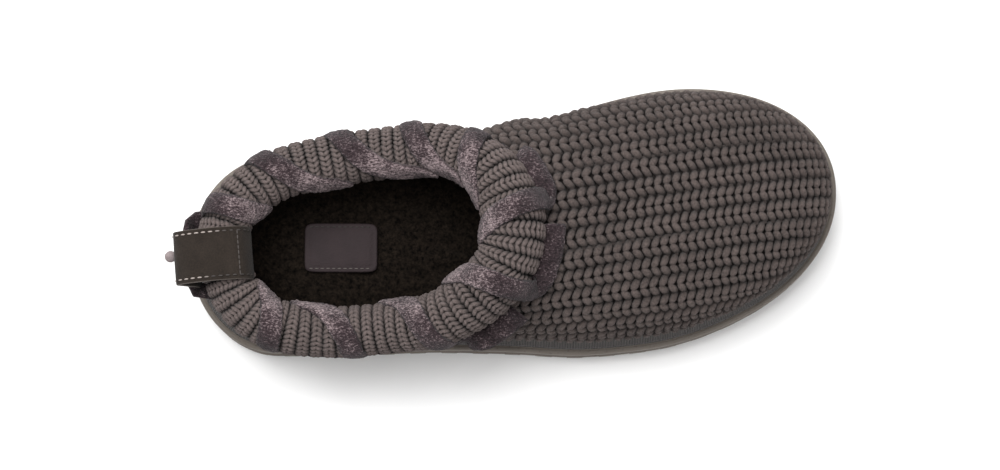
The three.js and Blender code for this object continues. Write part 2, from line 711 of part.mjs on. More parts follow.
// One wrap of the lace: along the outer base from the wrap before, up over the cuff and down
// its inner side. Each way-point has a share of the cuff's length, an angle round the cuff
// and how far the lace lies on the base.
function laceRoute({ starts, ends }, before) {
  const step = (LACE_WIDTH * LACE_RUN_IN) / cuffPath.getLength();
  const leaves = starts - step / 2;
  const climb = LACE_CLIMB.map(({ lean, angle }) => (
    { share: mix(starts, ends, lean), angle, base: 0 }));
  const rows = [
    { share: before + step, angle: LACE_BASE_ANGLE, base: 1 },
    { share: mix(before + step, leaves, 0.5), angle: LACE_BASE_ANGLE, base: 1 },
    { share: leaves, angle: LACE_BASE_ANGLE, base: 1 },
    { share: starts, angle: LACE_START_ANGLE, base: 0.5 },
    ...climb,
  ];
  return new THREE.CatmullRomCurve3(rows.map(({ share, angle, base }) =>
    new THREE.Vector3(share * ROUTE_SCALE, angle, base)), false, "centripetal");
}

function laceSample(route, t) {
  const place = route.getPointAt(t);
  const share = place.x / ROUTE_SCALE;
  const lift = GAP + LACE_THICKNESS / 2 + LACE_EASE;
  const onCuff = cuffPoint(share, place.y, lift);
  const { outward, upward } = cuffFrame(share);
  const radial = outward.multiplyScalar(Math.cos(place.y))
    .addScaledVector(upward, Math.sin(place.y));
  const { point, normal } = laceBase(((share % 1) + 1) % 1);
  const base = clamp(place.z, 0, 1);
  return { point: onCuff.lerp(point, base), normal: radial.lerp(normal, base).normalize() };
}

// What the lace keeps clear of: the upper and the cuff, each with the gap round it.
const laceClearance = makeUpperOutside(-GAP).add(toSolid(cuffGeometry(GAP)));

// A flat strip with rounded edges, carried along a route with its face on the surface. Each run
// of it is the hull of two rings, so that a sharp turn doesn't cross itself.
function makeLaceWrap(wrap, before) {
  const route = laceRoute(wrap, before);
  const samples = [];
  for (let k = 0; k <= wrap.steps; k += 1) samples.push(laceSample(route, k / wrap.steps));
  const rings = samples.map(({ point, normal }, k) => {
    const next = samples[Math.min(k + 1, wrap.steps)].point;
    const previous = samples[Math.max(k - 1, 0)].point;
    const across = next.clone().sub(previous).cross(normal).normalize();
    return LACE_SECTION.map(({ across: w, up: h }) => point.clone()
      .addScaledVector(across, (w * LACE_WIDTH) / 2)
      .addScaledVector(normal, (h * LACE_THICKNESS) / 2));
  });
  const runs = rings.slice(1).map((ring, k) =>
    wasm.Manifold.hull([...rings[k], ...ring].map((corner) => corner.toArray())));
  return toGeometry(largestOf(wasm.Manifold.union(runs).subtract(laceClearance)));
}

// Heel loop: a folded strip from the cuff's inner edge, over the cuff, out behind the heel and
// back under the lace. Its profile is given from the cuff's centre line, outward and up.
function makeHeelLoop() {
  const { centre } = cuffFrame(LOOP_SHARE);
  const middle = new THREE.CatmullRomCurve3(LOOP_PROFILE.map(({ out, up }) =>
    new THREE.Vector3(out * CUFF_WIDTH, up * CUFF_WIDTH, 0)), false, "centripetal");
  const rings = [];
  for (let k = 0; k <= LOOP_STEPS; k += 1) {
    const point = middle.getPoint(k / LOOP_STEPS);
    const tangent = middle.getTangent(k / LOOP_STEPS);
    const ring = [[-1, -1], [1, -1], [1, 1], [-1, 1]].map(([side, face]) => {
      const out = point.x - (tangent.y * face * LOOP_THICKNESS) / 2;
      const up = point.y + (tangent.x * face * LOOP_THICKNESS) / 2;
      return new THREE.Vector3(out, (side * LOOP_WIDTH) / 2, up);
    });
    rings.push(ring);
  }
  const geometry = solidOfRings(rings);
  geometry.rotateZ(Math.PI + LOOP_LEAN);
  geometry.translate(centre.x, centre.y, centre.z);
  return geometry;
}

const part = new THREE.Group();

function addPiece(name, geometry, { colour, roughness, metalness = 0 }) {
  const material = new THREE.MeshStandardMaterial({ color: colour, roughness, metalness });
  const mesh = new THREE.Mesh(geometry, material);
  mesh.name = name;
  part.add(mesh);
}

const RUBBER = { colour: 0x4a4238, roughness: 0.8 };
const RIBBON = { colour: 0x38332f, roughness: 0.85 };
const KNIT = { colour: 0x4b4743, roughness: 0.95 };
const CUFF_KNIT = { colour: 0x55504c, roughness: 0.95 };
const MAUVE_SUEDE = { colour: 0x5a4e55, roughness: 0.95 };
const OLIVE_SUEDE = { colour: 0x3b352e, roughness: 0.92 };
const FLEECE = { colour: 0x221d19, roughness: 1.0 };
const PLUM_LEATHER = { colour: 0x352f33, roughness: 0.6 };

addPiece("outsole", makeOutsole(), RUBBER);
addPiece("rand_tape", makeTape(), RIBBON);
addPiece("upper", makeUpper(), KNIT);
addPiece("collar_roll", cuffGeometry(0), CUFF_KNIT);
addPiece("insole", makeInsole(), FLEECE);
addPiece("sock_patch", makePatch(), PLUM_LEATHER);
addPiece("heel_loop", makeHeelLoop(), OLIVE_SUEDE);
LACE_WRAPS.forEach((wrap, i) => {
  const before = i === 0 ? LACE_WRAPS[LACE_WRAPS.length - 1].starts - 1 : LACE_WRAPS[i - 1].starts;
  const number = String(i + 1).padStart(2, "0");
  addPiece(`lace_wrap_${number}`, makeLaceWrap(wrap, before), MAUVE_SUEDE);
});

// The origin is the middle of the underside of the whole shoe.
const bounds = new THREE.Box3().setFromObject(part);
const middle = bounds.getCenter(new THREE.Vector3());
part.position.set(-middle.x, -middle.y, -bounds.min.z);

export default part;
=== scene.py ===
# %% [markdown]
# A knitted slipper, dressed for its portrait. The solids of the model are plain: they settle where
# each piece is and how large. This file makes what the eye sees round them: yarn, suede, fleece,
# ribbon and rubber. The first cell loads those solids.

# %% Load the solids
import math

import bmesh
import bpy
import numpy as np
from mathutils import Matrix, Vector


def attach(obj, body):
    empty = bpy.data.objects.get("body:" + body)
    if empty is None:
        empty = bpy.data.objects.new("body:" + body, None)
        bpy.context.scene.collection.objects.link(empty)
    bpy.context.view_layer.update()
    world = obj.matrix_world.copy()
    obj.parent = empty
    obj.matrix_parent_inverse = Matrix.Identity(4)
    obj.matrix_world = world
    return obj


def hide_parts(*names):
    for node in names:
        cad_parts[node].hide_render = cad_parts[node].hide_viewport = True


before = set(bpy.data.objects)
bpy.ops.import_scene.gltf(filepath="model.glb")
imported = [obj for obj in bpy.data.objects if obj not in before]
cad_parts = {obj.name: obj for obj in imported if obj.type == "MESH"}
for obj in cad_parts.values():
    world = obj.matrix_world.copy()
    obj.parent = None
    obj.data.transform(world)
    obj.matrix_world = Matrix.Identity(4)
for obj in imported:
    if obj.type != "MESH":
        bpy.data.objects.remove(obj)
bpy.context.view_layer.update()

# %% [markdown]
# The picture is taken from almost straight above, with the heel at the left. The camera comes
# first, because every later choice is judged through it. A long lens far away keeps the outline
# of the sole true, so the camera stands 1.18 m up and leans back by only 6.5 degrees.

# %% Camera
HEEL_TO_CENTRE = 131.661  # mm from the back of the sole to the middle of the model's box
SIDE_TO_CENTRE = 11.786  # mm from the heel's middle line to the middle of the box
CAMERA_MM = (127.333, -124.078, 1180.0)  # measured from the back of the heel, on the floor
CAMERA_LEAN = math.radians(6.5)
LENS_MM = 101.915
SENSOR_MM = 36.0


def to_frame(points):
    """Points in millimetres from the back of the heel, turned into metres of the model's frame:
    subtract the place of the model's middle and divide by a thousand."""
    shift = np.array([HEEL_TO_CENTRE, SIDE_TO_CENTRE, 0.0])
    return (np.asarray(points, float) - shift) / 1000.0


camera_data = bpy.data.cameras.new("camera")
camera_data.lens = LENS_MM
camera_data.sensor_width = SENSOR_MM
camera_data.clip_end = 10.0
camera = bpy.data.objects.new("camera", camera_data)
camera.location = to_frame(CAMERA_MM)
camera.rotation_euler = (CAMERA_LEAN, 0.0, 0.0)
bpy.context.scene.collection.objects.link(camera)
bpy.context.scene.camera = camera
bpy.context.scene.view_settings.view_transform = "Standard"
print("camera at", [round(v, 3) for v in camera.location])

# %% [markdown]
# Materials are graphs of nodes, and graphs are hard to read as code. So one small class wraps a
# socket and lets Python's own operators stand for Math nodes, and a second one holds a material
# and makes any other node through one method. An expression such as 1 - mask then reads like the
# formula that it is.

# %% Sockets as numbers, materials as expressions
class Wire:
    """The output of a node. Sums, products and so on of wires and numbers become Math nodes."""

    def __init__(self, look, socket):
        self.look = look
        self.socket = socket

    def maths(self, operation, *others):
        return self.look.node("ShaderNodeMath", {"operation": operation}, [self, *others])

    def __add__(self, other):
        return self.maths("ADD", other)

    def __sub__(self, other):
        return self.maths("SUBTRACT", other)

    def __rsub__(self, other):
        return self.look.node("ShaderNodeMath", {"operation": "SUBTRACT"}, [other, self])

    def __mul__(self, other):
        return self.maths("MULTIPLY", other)

    def __pow__(self, other):
        return self.maths("POWER", other)

    __radd__ = __add__
    __rmul__ = __mul__

    def sine(self):
        return self.maths("SINE")

    def within(self, low, high):
        """0 below low, 1 above high, and straight between."""
        return self.look.node("ShaderNodeMapRange", {"clamp": True}, [self, low, high, 0.0, 1.0])


class Look:
    """A material and its nodes. The sheen, coat and other constants go on the shader itself."""

    def __init__(self, name, **constants):
        self.material = bpy.data.materials.new(name)
        self.material.use_nodes = True
        self.tree = self.material.node_tree
        self.shader = self.tree.nodes["Principled BSDF"]
        for socket, value in constants.items():
            self.shader.inputs[socket.replace("_", " ")].default_value = value

    def node(self, kind, settings=None, inputs=(), output=0):
        """Any node: its type, its settings, then the values or wires of its sockets."""
        made = self.tree.nodes.new(kind)
        for name, value in (settings or {}).items():
            setattr(made, name, value)
        pairs = inputs.items() if isinstance(inputs, dict) else enumerate(inputs)
        for name, value in pairs:
            if isinstance(value, Wire):
                self.tree.links.new(value.socket, made.inputs[name])
            else:
                made.inputs[name].default_value = value
        return Wire(self, made.outputs[output])

    def place(self):
        """Position on the piece, in metres, which doesn't slide when the piece moves."""
        return self.node("ShaderNodeTexCoord", output="Object")

    def attribute(self, name):
        """A number that the mesh carries at each of its points."""
        return self.node("ShaderNodeAttribute", {"attribute_name": name}, output="Fac")

    def noise(self, scale, detail=3.0, roughness=0.55, where=None):
        """Soft clouds, with so many of them to a metre."""
        return self.node("ShaderNodeTexNoise", {}, {"Vector": where or self.place(),
            "Scale": scale, "Detail": detail, "Roughness": roughness})

    def stretched(self, scales, where=None):
        """Position with each axis scaled by itself, for a grain that runs one way."""
        return self.node("ShaderNodeVectorMath", {"operation": "MULTIPLY"},
            [where or self.place(), scales])

    def blend(self, first, second, share):
        """A colour between two colours."""
        return self.node("ShaderNodeMix", {"data_type": "RGBA"},
            {0: share, 6: paint(first), 7: paint(second)}, output=2)

    def bump(self, height, distance, strength=1.0, under=None):
        """Relief of so many metres where the height goes from 0 to 1."""
        inputs = {"Height": height, "Distance": distance, "Strength": strength}
        if under is not None:
            inputs["Normal"] = under
        return self.node("ShaderNodeBump", {}, inputs)

    def finish(self, **wires):
        for name, wire in wires.items():
            socket = self.shader.inputs[name.replace("_", " ")]
            self.tree.links.new(wire.socket, socket)
        return self.material


def paint(colour):
    """A colour of three parts as the four that a socket wants."""
    return (*colour, 1.0) if isinstance(colour, tuple) and len(colour) == 3 else colour


print("materials are made of", Look.__name__, "and", Wire.__name__)

# %% [markdown]
# Every piece below is a set of numpy points with faces of four corners, or three at a tip. One
# function puts them in a mesh, smooths it, gives it its material and ties it to the model's only
# body. A second one numbers the faces of a grid, which is all that most of the pieces need.

# %% Points into pieces
def grid_faces(rows, columns, loop_rows=False, loop_columns=False):
    """Faces of a grid of points numbered row by row: point i, its neighbour in the row, and the
    same two in the next row. A loop joins the last row or column to the first."""
    row = np.arange(rows if loop_rows else rows - 1)[:, None]
    column = np.arange(columns if loop_columns else columns - 1)[None, :]
    above, beside = (row + 1) % rows, (column + 1) % columns
    corners = (row * columns + column, row * columns + beside,
               above * columns + beside, above * columns + column)
    return np.stack(corners, -1).reshape(-1, 4)


def volume_of(points, faces):
    """Signed volume inside closed faces: a sixth of the sum of the corner boxes."""
    a, b, c = (points[faces[:, k]] for k in (0, 1, 2))
    volume = np.einsum("ij,ij->", a, np.cross(b, c))
    if faces.shape[1] == 4:
        d = points[faces[:, 3]]
        volume += np.einsum("ij,ij->", a, np.cross(c, d))
    return volume / 6.0


def make_piece(name, points, faces, look, stands_for=(), values=None,
               closed=True, merge=0.0):
    """A mesh from millimetre points and one or two arrays of faces, riding on the slipper."""
    faces = faces if isinstance(faces, (list, tuple)) else [faces]
    points = np.asarray(points, float)
    if closed and sum(volume_of(points, part) for part in faces) < 0:
        faces = [part[:, ::-1] for part in faces]
    mesh = bpy.data.meshes.new(name)
    mesh.from_pydata(to_frame(points).tolist(), [], [f for part in faces for f in part.tolist()])
    for key, value in (values or {}).items():
        layer = mesh.attributes.new(key, "FLOAT", "POINT")
        layer.data.foreach_set("value", np.asarray(value, np.float32).ravel())
    mesh.polygons.foreach_set("use_smooth", np.ones(len(mesh.polygons), bool))
    mesh.materials.append(look)
    if merge:
        weld(mesh, merge)
    mesh.validate()
    mesh.update()
    piece = bpy.data.objects.new(name, mesh)
    bpy.context.scene.collection.objects.link(piece)
    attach(piece, "root")
    if stands_for:
        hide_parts(*stands_for)
    print(f"{name}: {len(mesh.vertices)} points, {len(mesh.polygons)} faces")
    return piece


def weld(mesh, distance):
    """Joins points that lie closer together than the distance, in metres."""
    work = bmesh.new()
    work.from_mesh(mesh)
    bmesh.ops.remove_doubles(work, verts=work.verts, dist=distance)
    work.to_mesh(mesh)
    work.free()


def closed_tube(rings, ends=None):
    """Rings of points as one closed skin: faces of four corners between the rings, and fans of
    three round the two end points, which are the middles of the end rings if none are given. All
    are turned round if the volume inside comes out below zero."""
    count, sides = rings.shape[:2]
    ends = np.stack([rings[0].mean(0), rings[-1].mean(0)]) if ends is None else ends
    points = np.concatenate([rings.reshape(-1, 3), ends])
    quads = grid_faces(count, sides, loop_columns=True)
    k = np.arange(sides)
    beside, last, tip = (k + 1) % sides, (count - 1) * sides, count * sides
    fans = np.concatenate([np.stack([np.full(sides, tip), beside, k], -1),
                           np.stack([np.full(sides, tip + 1), last + k, last + beside], -1)])
    if volume_of(points, quads) + volume_of(points, fans) < 0:
        quads, fans = quads[:, ::-1], fans[:, ::-1]
    return points, quads, fans


def carry(line, across, off, wide, high):
    """A section carried along a line: each point so far across and so far off the line."""
    return line[:, None] + across[:, None] * wide[..., None] + off[:, None] * high[..., None]


def signed_power(value, power):
    """The power of a number's size, with its own sign: this squares a circle's corners."""
    return np.sign(value) * np.abs(value) ** power


def mix(a, b, share):
    return a + (b - a) * share


def smooth_step(low, high, value):
    share = np.clip((value - low) / (high - low), 0.0, 1.0)
    return share * share * (3.0 - 2.0 * share)


def unit(vectors):
    return vectors / np.maximum(np.linalg.norm(vectors, axis=-1, keepdims=True), 1e-9)


print("a grid of 3 by 3 points has", len(grid_faces(3, 3)), "faces")

# %% [markdown]
# The sizes of the slipper, all in millimetres and the same as those of its solids. The sole's
# outline and the last, the form that the upper was knitted over, are short tables of shares of
# those sizes. A table's column becomes a smooth curve, so any place along the shoe can be asked
# for its width, its height or the roundness of its section.

# %% Sizes and tables
SOLE_LENGTH, BALL_WIDTH, SOLE_HEIGHT = 266.0, 107.0, 24.0
HEEL_BEVEL, ARCH_LIFT, TOE_SPRING = 3.0, 3.0, 8.5
LUG_HEIGHT, LUG_PITCH, LUG_LENGTH, LUG_GAP_DEPTH = 8.0, 13.0, 7.5, 2.2
TREAD_DEPTH, TREAD_GROOVE = 2.0, 3.2
WALL, INSTEP_HEIGHT, BULGE_HEIGHT, BULGE_INSET = 4.5, 76.0, 15.0, 4.6
WALE_PITCH = 8.2
TAPE_HEIGHT, TAPE_THICKNESS, TAPE_FOOT_INSET, TAPE_HEAD_INSET = 8.0, 1.3, 2.5, 6.9
INSOLE_THICKNESS, INSOLE_COVE, COVE_WIDTH = 8.5, 3.5, 9.0
CUFF_WIDTH, THROAT_HEIGHT = 20.0, 78.0
LACE_WIDTH, LACE_THICKNESS = 9.2, 2.6
LOOP_WIDTH, LOOP_THICKNESS = 21.0, 1.8
GAP = 0.3
FAN_AT = 0.188

SOLE_PLAN = {"at": (0, 0.16, 0.3, 0.4, 0.5, 0.6, 0.7, 0.85, 1),
             "centre": (0, 0, 0.003, 0.011, 0.043, 0.088, 0.132, 0.191, 0.238),
             "half": (0.383, 0.383, 0.38, 0.383, 0.42, 0.477, 0.5, 0.5, 0.5)}
SOLE_TOP = {"at": (0, 0.2, 0.42, 0.6, 0.78, 0.9, 1),
            "top": (1, 0.96, 0.86, 0.76, 0.78, 0.88, 1)}
UNDERSIDE = {"heel_from": 0.05, "arch_from": 0.28, "arch_to": 0.45, "toe_from": 0.77}
LAST = {"at": (0, 0.188, 0.32, 0.41, 0.5, 0.56, 0.7, 0.86, 1),
        "ridge": (0.92, 0.93, 0.99, 1.02, 0.99, 0.945, 0.87, 0.765, 0.67),
        "medial": (1.65, 1.4, 0.45, -0.25, -0.6, 0.45, 1, 1, 1),
        "lateral": (1.65, 1.4, 0.55, 0.6, 0.9, 1, 1, 1, 1),
        "power": (2.3, 2.4, 3.3, 3.1, 2.6, 2.4, 2.35, 2.35, 2.3)}
HEEL_REACH, TOE_REACH = 0.137, 0.3
HEEL_POWER, TOE_POWER, NOSE_FROM, NOSE_POWER = 2.0, 2.1, 0.86, 2.5
HEEL_END, BODY_END, TOE_END = 9.0, 21.0, 33.0  # stations, counted from the back of the heel


def column(table, name):
    """A cubic through one column of a table, whose slope at each row is that of the line between
    the rows before and after it."""
    at, value = np.array(table["at"], float), np.array(table[name], float)
    before = np.maximum(np.arange(len(at)) - 1, 0)
    after = np.minimum(np.arange(len(at)) + 1, len(at) - 1)
    slope = (value[after] - value[before]) / (at[after] - at[before])

    def curve(where):
        where = np.asarray(where, float)
        i = np.clip(np.searchsorted(at, where) - 1, 0, len(at) - 2)
        span = at[i + 1] - at[i]
        t = np.clip((where - at[i]) / span, 0.0, 1.0)
        return ((1 + 2 * t) * (1 - t) ** 2 * value[i] + t * t * (3 - 2 * t) * value[i + 1]
                + t * (1 - t) ** 2 * span * slope[i] + t * t * (t - 1) * span * slope[i + 1])

    return curve


plan_centre, plan_half = column(SOLE_PLAN, "centre"), column(SOLE_PLAN, "half")
top_share = column(SOLE_TOP, "top")
medial_share, lateral_share = column(LAST, "medial"), column(LAST, "lateral")
ridge_share, section_power = column(LAST, "ridge"), column(LAST, "power")
print("widest half of the sole:", round(float(plan_half(0.7)) * BALL_WIDTH, 1), "mm")

# %% [markdown]
# From these curves come the shoe's own surfaces. The outline is two superellipse ends with a body
# between them. The sole's top dips under the ball and lifts to the toe, and its underside rests
# flat at heel and forefoot. All of them take whole arrays of stations at once.

# %% Outline and heights
def centre_at(x):
    return plan_centre(x / SOLE_LENGTH) * BALL_WIDTH


def sole_top(x):
    return top_share(x / SOLE_LENGTH) * SOLE_HEIGHT


def sole_under(x):
    """Height of the underside: a square bevel at the heel, a sine arch, and a toe spring that
    grows with the 1.7th power."""
    at = x / SOLE_LENGTH
    heel = np.clip((UNDERSIDE["heel_from"] - at) / UNDERSIDE["heel_from"], 0, 1)
    toe = np.clip((at - UNDERSIDE["toe_from"]) / (1 - UNDERSIDE["toe_from"]), 0, 1)
    span = UNDERSIDE["arch_to"] - UNDERSIDE["arch_from"]
    arch = np.clip((at - UNDERSIDE["arch_from"]) / span, 0, 1)
    return (HEEL_BEVEL * heel ** 2 + TOE_SPRING * toe ** 1.7
            + ARCH_LIFT * np.sin(np.pi * arch) ** 2)


def outline(station, side, inset):
    """Plan point of a station, moved in by an inset: quarter superellipses at heel and toe, and
    equal steps along the body. side is 1 for the big toe's side and -1 for the other."""
    station = np.asarray(station, float)
    heel_reach, toe_reach = HEEL_REACH * SOLE_LENGTH, TOE_REACH * SOLE_LENGTH
    body_end = SOLE_LENGTH - toe_reach
    heel_turn = np.clip(station / HEEL_END, 0, 1) * np.pi / 2
    toe_turn = np.clip((station - BODY_END) / (TOE_END - BODY_END), 0, 1) * np.pi / 2
    x_heel = inset + (heel_reach - inset) * (1 - np.cos(heel_turn) ** (2 / HEEL_POWER))
    x_body = mix(heel_reach, body_end, (station - HEEL_END) / (BODY_END - HEEL_END))
    x_toe = body_end + (toe_reach - inset) * np.sin(toe_turn) ** (2 / TOE_POWER)
    x = np.where(station <= HEEL_END, x_heel, np.where(station <= BODY_END, x_body, x_toe))
    cosine = np.where(toe_turn > np.pi / 2 - 1e-6, 0.0, np.cos(toe_turn))
    roundness = np.where(station <= HEEL_END, np.sin(heel_turn) ** (2 / HEEL_POWER),
                         cosine ** (2 / TOE_POWER))
    half = (plan_half(x / SOLE_LENGTH) * BALL_WIDTH - inset) * roundness
    return x, centre_at(x) + side * half


def even_stations(count):
    """Stations at equal steps along the outline, the mean of both sides."""
    fine = np.linspace(0, TOE_END, 4000)
    run = np.zeros(len(fine))
    for side in (1, -1):
        x, y = outline(fine, side, 0.0)
        run[1:] += np.cumsum(np.hypot(np.diff(x), np.diff(y)))
    return np.interp(np.linspace(0, run[-1], count), run, fine)


def ring_of(stations):
    """Stations and sides of a closed ring: out along the big toe's side and back on the other."""
    there = np.stack([stations, np.ones(len(stations))])
    back = np.stack([stations[-2:0:-1], -np.ones(len(stations) - 2)])
    return np.concatenate([there, back], axis=1)


RING_STATIONS = even_stations(420)
RING = ring_of(RING_STATIONS)
edge_x, edge_y = outline(RING[0], RING[1], 0.0)
EDGE_RUN = np.concatenate([[0], np.cumsum(np.hypot(np.diff(edge_x), np.diff(edge_y)))])
closing = math.hypot(edge_x[0] - edge_x[-1], edge_y[0] - edge_y[-1])
EDGE_LENGTH = EDGE_RUN[-1] + closing
print("the edge of the sole is", round(EDGE_LENGTH, 1), "mm round")

# %% [markdown]
# The sole is one block of rubber. Its side carries lugs all round its foot, a recess above them
# and a thin bead below the rim that shows in the picture as a paler line. The points are a stack
# of outlines; where a gap between two lugs falls, the lower outlines step inwards. Underneath,
# straight lanes run from edge to edge, and grooves are pressed into them.

# %% Rubber sole
SIDE_PROFILE = (  # inset, measured from, and rise above it, in mm
    (2.6, "under", 0.0), (1.0, "under", 0.5), (0.2, "under", 2.2), (0.0, "under", 5.5),
    (0.0, "under", 7.6), (0.25, "under", 8.0), (1.3, "under", 8.6), (1.5, "under", 9.2),
    (1.1, "top", -5.2), (0.9, "top", -4.6), (0.35, "top", -4.1), (0.2, "top", -3.6),
    (0.15, "top", -2.2), (0.2, "top", -0.9), (0.45, "top", -0.35), (1.0, "top", 0.0),
    (2.0, "top", 0.05), (2.25, "top", -0.3), (2.5, "top", 0.0), (9.5, "top", 0.0))
GROOVE_RANGES = ((0.07, 0.26), (0.48, 0.76))
SOLE_LANES = 30


def lug_gap(run):
    """1 in the middle of a gap between lugs and 0 on a lug, with soft corners."""
    count = round(EDGE_LENGTH / LUG_PITCH)
    phase = (run / EDGE_LENGTH * count) % 1.0
    away = np.abs(phase - 0.5) * LUG_PITCH
    half_gap = (LUG_PITCH - LUG_LENGTH) / 2
    return 1 - smooth_step(half_gap - 0.5, half_gap + 0.5, away)


def tread(x, across):
    """Depth of the grooves under the sole: bars of equal spacing that fade at both ends."""
    depth = np.zeros(np.broadcast(x, across).shape)
    for start, end in GROOVE_RANGES:
        count = int((end - start) * SOLE_LENGTH / (LUG_PITCH * 1.2))
        for k in range(count + 1):
            middle = mix(start, end, k / count) * SOLE_LENGTH
            bar = 1 - smooth_step(TREAD_GROOVE / 2 - 0.4, TREAD_GROOVE / 2 + 0.4, abs(x - middle))
            depth += TREAD_DEPTH * bar * (1 - smooth_step(0.72, 0.78, abs(across)))
    return depth


def make_sole(look):
    """Outlines stacked from the floor to the rim, closed on top and bottom by lanes."""
    gap = lug_gap(EDGE_RUN)
    rows = []
    for inset, base, rise in SIDE_PROFILE:
        deep = gap * LUG_GAP_DEPTH if base == "under" and rise < LUG_HEIGHT - 0.4 else gap * 0
        x, y = outline(RING[0], RING[1], inset + deep)
        z = (sole_under(x) if base == "under" else sole_top(x)) + rise
        rows.append(np.stack([x, y, z], -1))
    rings = np.array(rows)
    count = rings.shape[1]
    points, faces = [rings.reshape(-1, 3)], [grid_faces(len(rows), count, loop_columns=True)]
    share = np.linspace(-1, 1, SOLE_LANES)
    half = len(RING_STATIONS)
    other = (count - np.arange(half)) % count
    for ring, grooved in ((rings[0], True), (rings[-1], False)):
        near, far = ring[:half], ring[other]
        lane = mix(near[:, None], far[:, None], ((share + 1) / 2)[None, :, None])
        if grooved:
            lane[..., 2] += tread(lane[..., 0], share[None, :])
        patch = grid_faces(half, SOLE_LANES) + sum(len(p) for p in points)
        faces.append(patch if grooved else patch[:, ::-1])
        points.append(lane.reshape(-1, 3))
    return make_piece("rubber_sole", np.concatenate(points), np.concatenate(faces), look,
                      ["outsole"], merge=1e-5)


def rubber_look():
    """Moulded foam rubber, taupe, with a fine pebble and duller patches where it is handled."""
    look = Look("taupe_rubber", Coat_Roughness=0.6)
    cloud = look.noise(70.0)
    pebble = look.noise(2600.0, 2.0)
    colour = look.blend((0.105, 0.088, 0.073), (0.16, 0.135, 0.113), cloud)
    colour = look.blend(colour, (0.07, 0.058, 0.05), look.noise(900.0, 1.0).within(0.62, 0.8))
    return look.finish(Base_Color=colour, Roughness=0.52 + 0.2 * pebble,
                       Normal=look.bump(pebble, 0.0002, 0.5))


make_sole(rubber_look())

# %% [markdown]
# A grosgrain ribbon covers the seam between knit and sole. Its ribs stand across the ribbon, so
# they follow the edge of the shoe: the material counts millimetres along the edge, which the
# mesh carries as a number at each point, and turns them into a sine wave.

# %% Ribbon tape
def make_tape(look):
    """A thin band round the shoe: up its outer face, over its head and down behind."""
    section = ((2.5, 0.0), (3.1, 1.2), (4.7, 4.0), (6.3, 6.8), (6.95, 7.7), (7.5, 8.1), (8.2, 8.0),
               (6.0, 4.0), (3.8, 0.0))
    rows = []
    for inset, height in section:
        x, y = outline(RING[0], RING[1], inset)
        rows.append(np.stack([x, y, sole_top(x) + GAP + height], -1))
    rings = np.array(rows)
    run = np.tile(EDGE_RUN, (len(section), 1))
    up = np.tile(np.linspace(0, 1, len(section))[:, None], (1, rings.shape[1]))
    return make_piece("ribbon_tape", rings.reshape(-1, 3),
                      grid_faces(len(section), rings.shape[1], True, True), look,
                      ["rand_tape"], {"run_mm": run, "up": up})


def ribbon_look():
    """Ribbed ribbon, dark brown-grey: ribs 1.1 mm apart with fine threads across them."""
    look = Look("ribbed_ribbon", Sheen_Weight=0.15, Sheen_Roughness=0.5)
    run = look.attribute("run_mm")
    rib = (run * (2 * math.pi / 1.1)).sine() * 0.5 + 0.5
    threads = look.noise(4200.0, 2.0)
    # painted shade: the colour darkens with the sine wave in the grooves between the ribs
    colour = look.blend((0.01, 0.0078, 0.007), (0.05, 0.041, 0.038), rib * 0.75 + threads * 0.3)
    return look.finish(Base_Color=colour, Roughness=0.7 + 0.2 * threads,
                       Normal=look.bump(rib + threads * 0.4, 0.0003, 0.9))


make_tape(ribbon_look())

# %% [markdown]
# The upper was knitted over a last. Its surface is found section by section: a superellipse from
# the ridge over the foot down to the widest line, then the swelling above the ribbon, where the
# knit tucks in. At the heel the sections fan out from one point. A section is a chain of points,
# and the distance along the chain is what the knitting follows.

# %% Surface of the last
DOME_STEPS, SKIRT_STEPS = 44, 12


def ridge_height(x, sink):
    """Height of the ridge line, with a superelliptic nose that ends at the toe."""
    tip = SOLE_LENGTH - BULGE_INSET - sink
    start = NOSE_FROM * SOLE_LENGTH
    foot = sole_top(x) + GAP + BULGE_HEIGHT
    full = ridge_share(x / SOLE_LENGTH) * INSTEP_HEIGHT - sink
    share = np.clip((x - start) / (tip - start), 0, 1)
    return foot + (full - foot) * (1 - share ** NOSE_POWER) ** (1 / NOSE_POWER)


def skirt_inset(height, bulge):
    """Inset below the widest line: straight behind the ribbon, then a quarter bow outwards."""
    foot = TAPE_FOOT_INSET + TAPE_THICKNESS + 2 * GAP
    head = TAPE_HEAD_INSET + TAPE_THICKNESS + 2 * GAP
    share = np.clip((height - TAPE_HEIGHT) / (BULGE_HEIGHT - TAPE_HEIGHT), 0, 1)
    low = mix(foot, head, np.clip(height / TAPE_HEIGHT, 0, 1))
    return np.where(height <= TAPE_HEIGHT, low, bulge + (head - bulge) * (1 - share) ** 2)


def bulge_at(x, side):
    """Inset of the widest line: each side has its own, because the arch side swells out."""
    at = x / SOLE_LENGTH
    return np.where(side > 0, medial_share(at), lateral_share(at)) * BULGE_INSET


def bulge_inset(station, side):
    x, _ = outline(station, side, BULGE_INSET)
    return bulge_at(x, side)


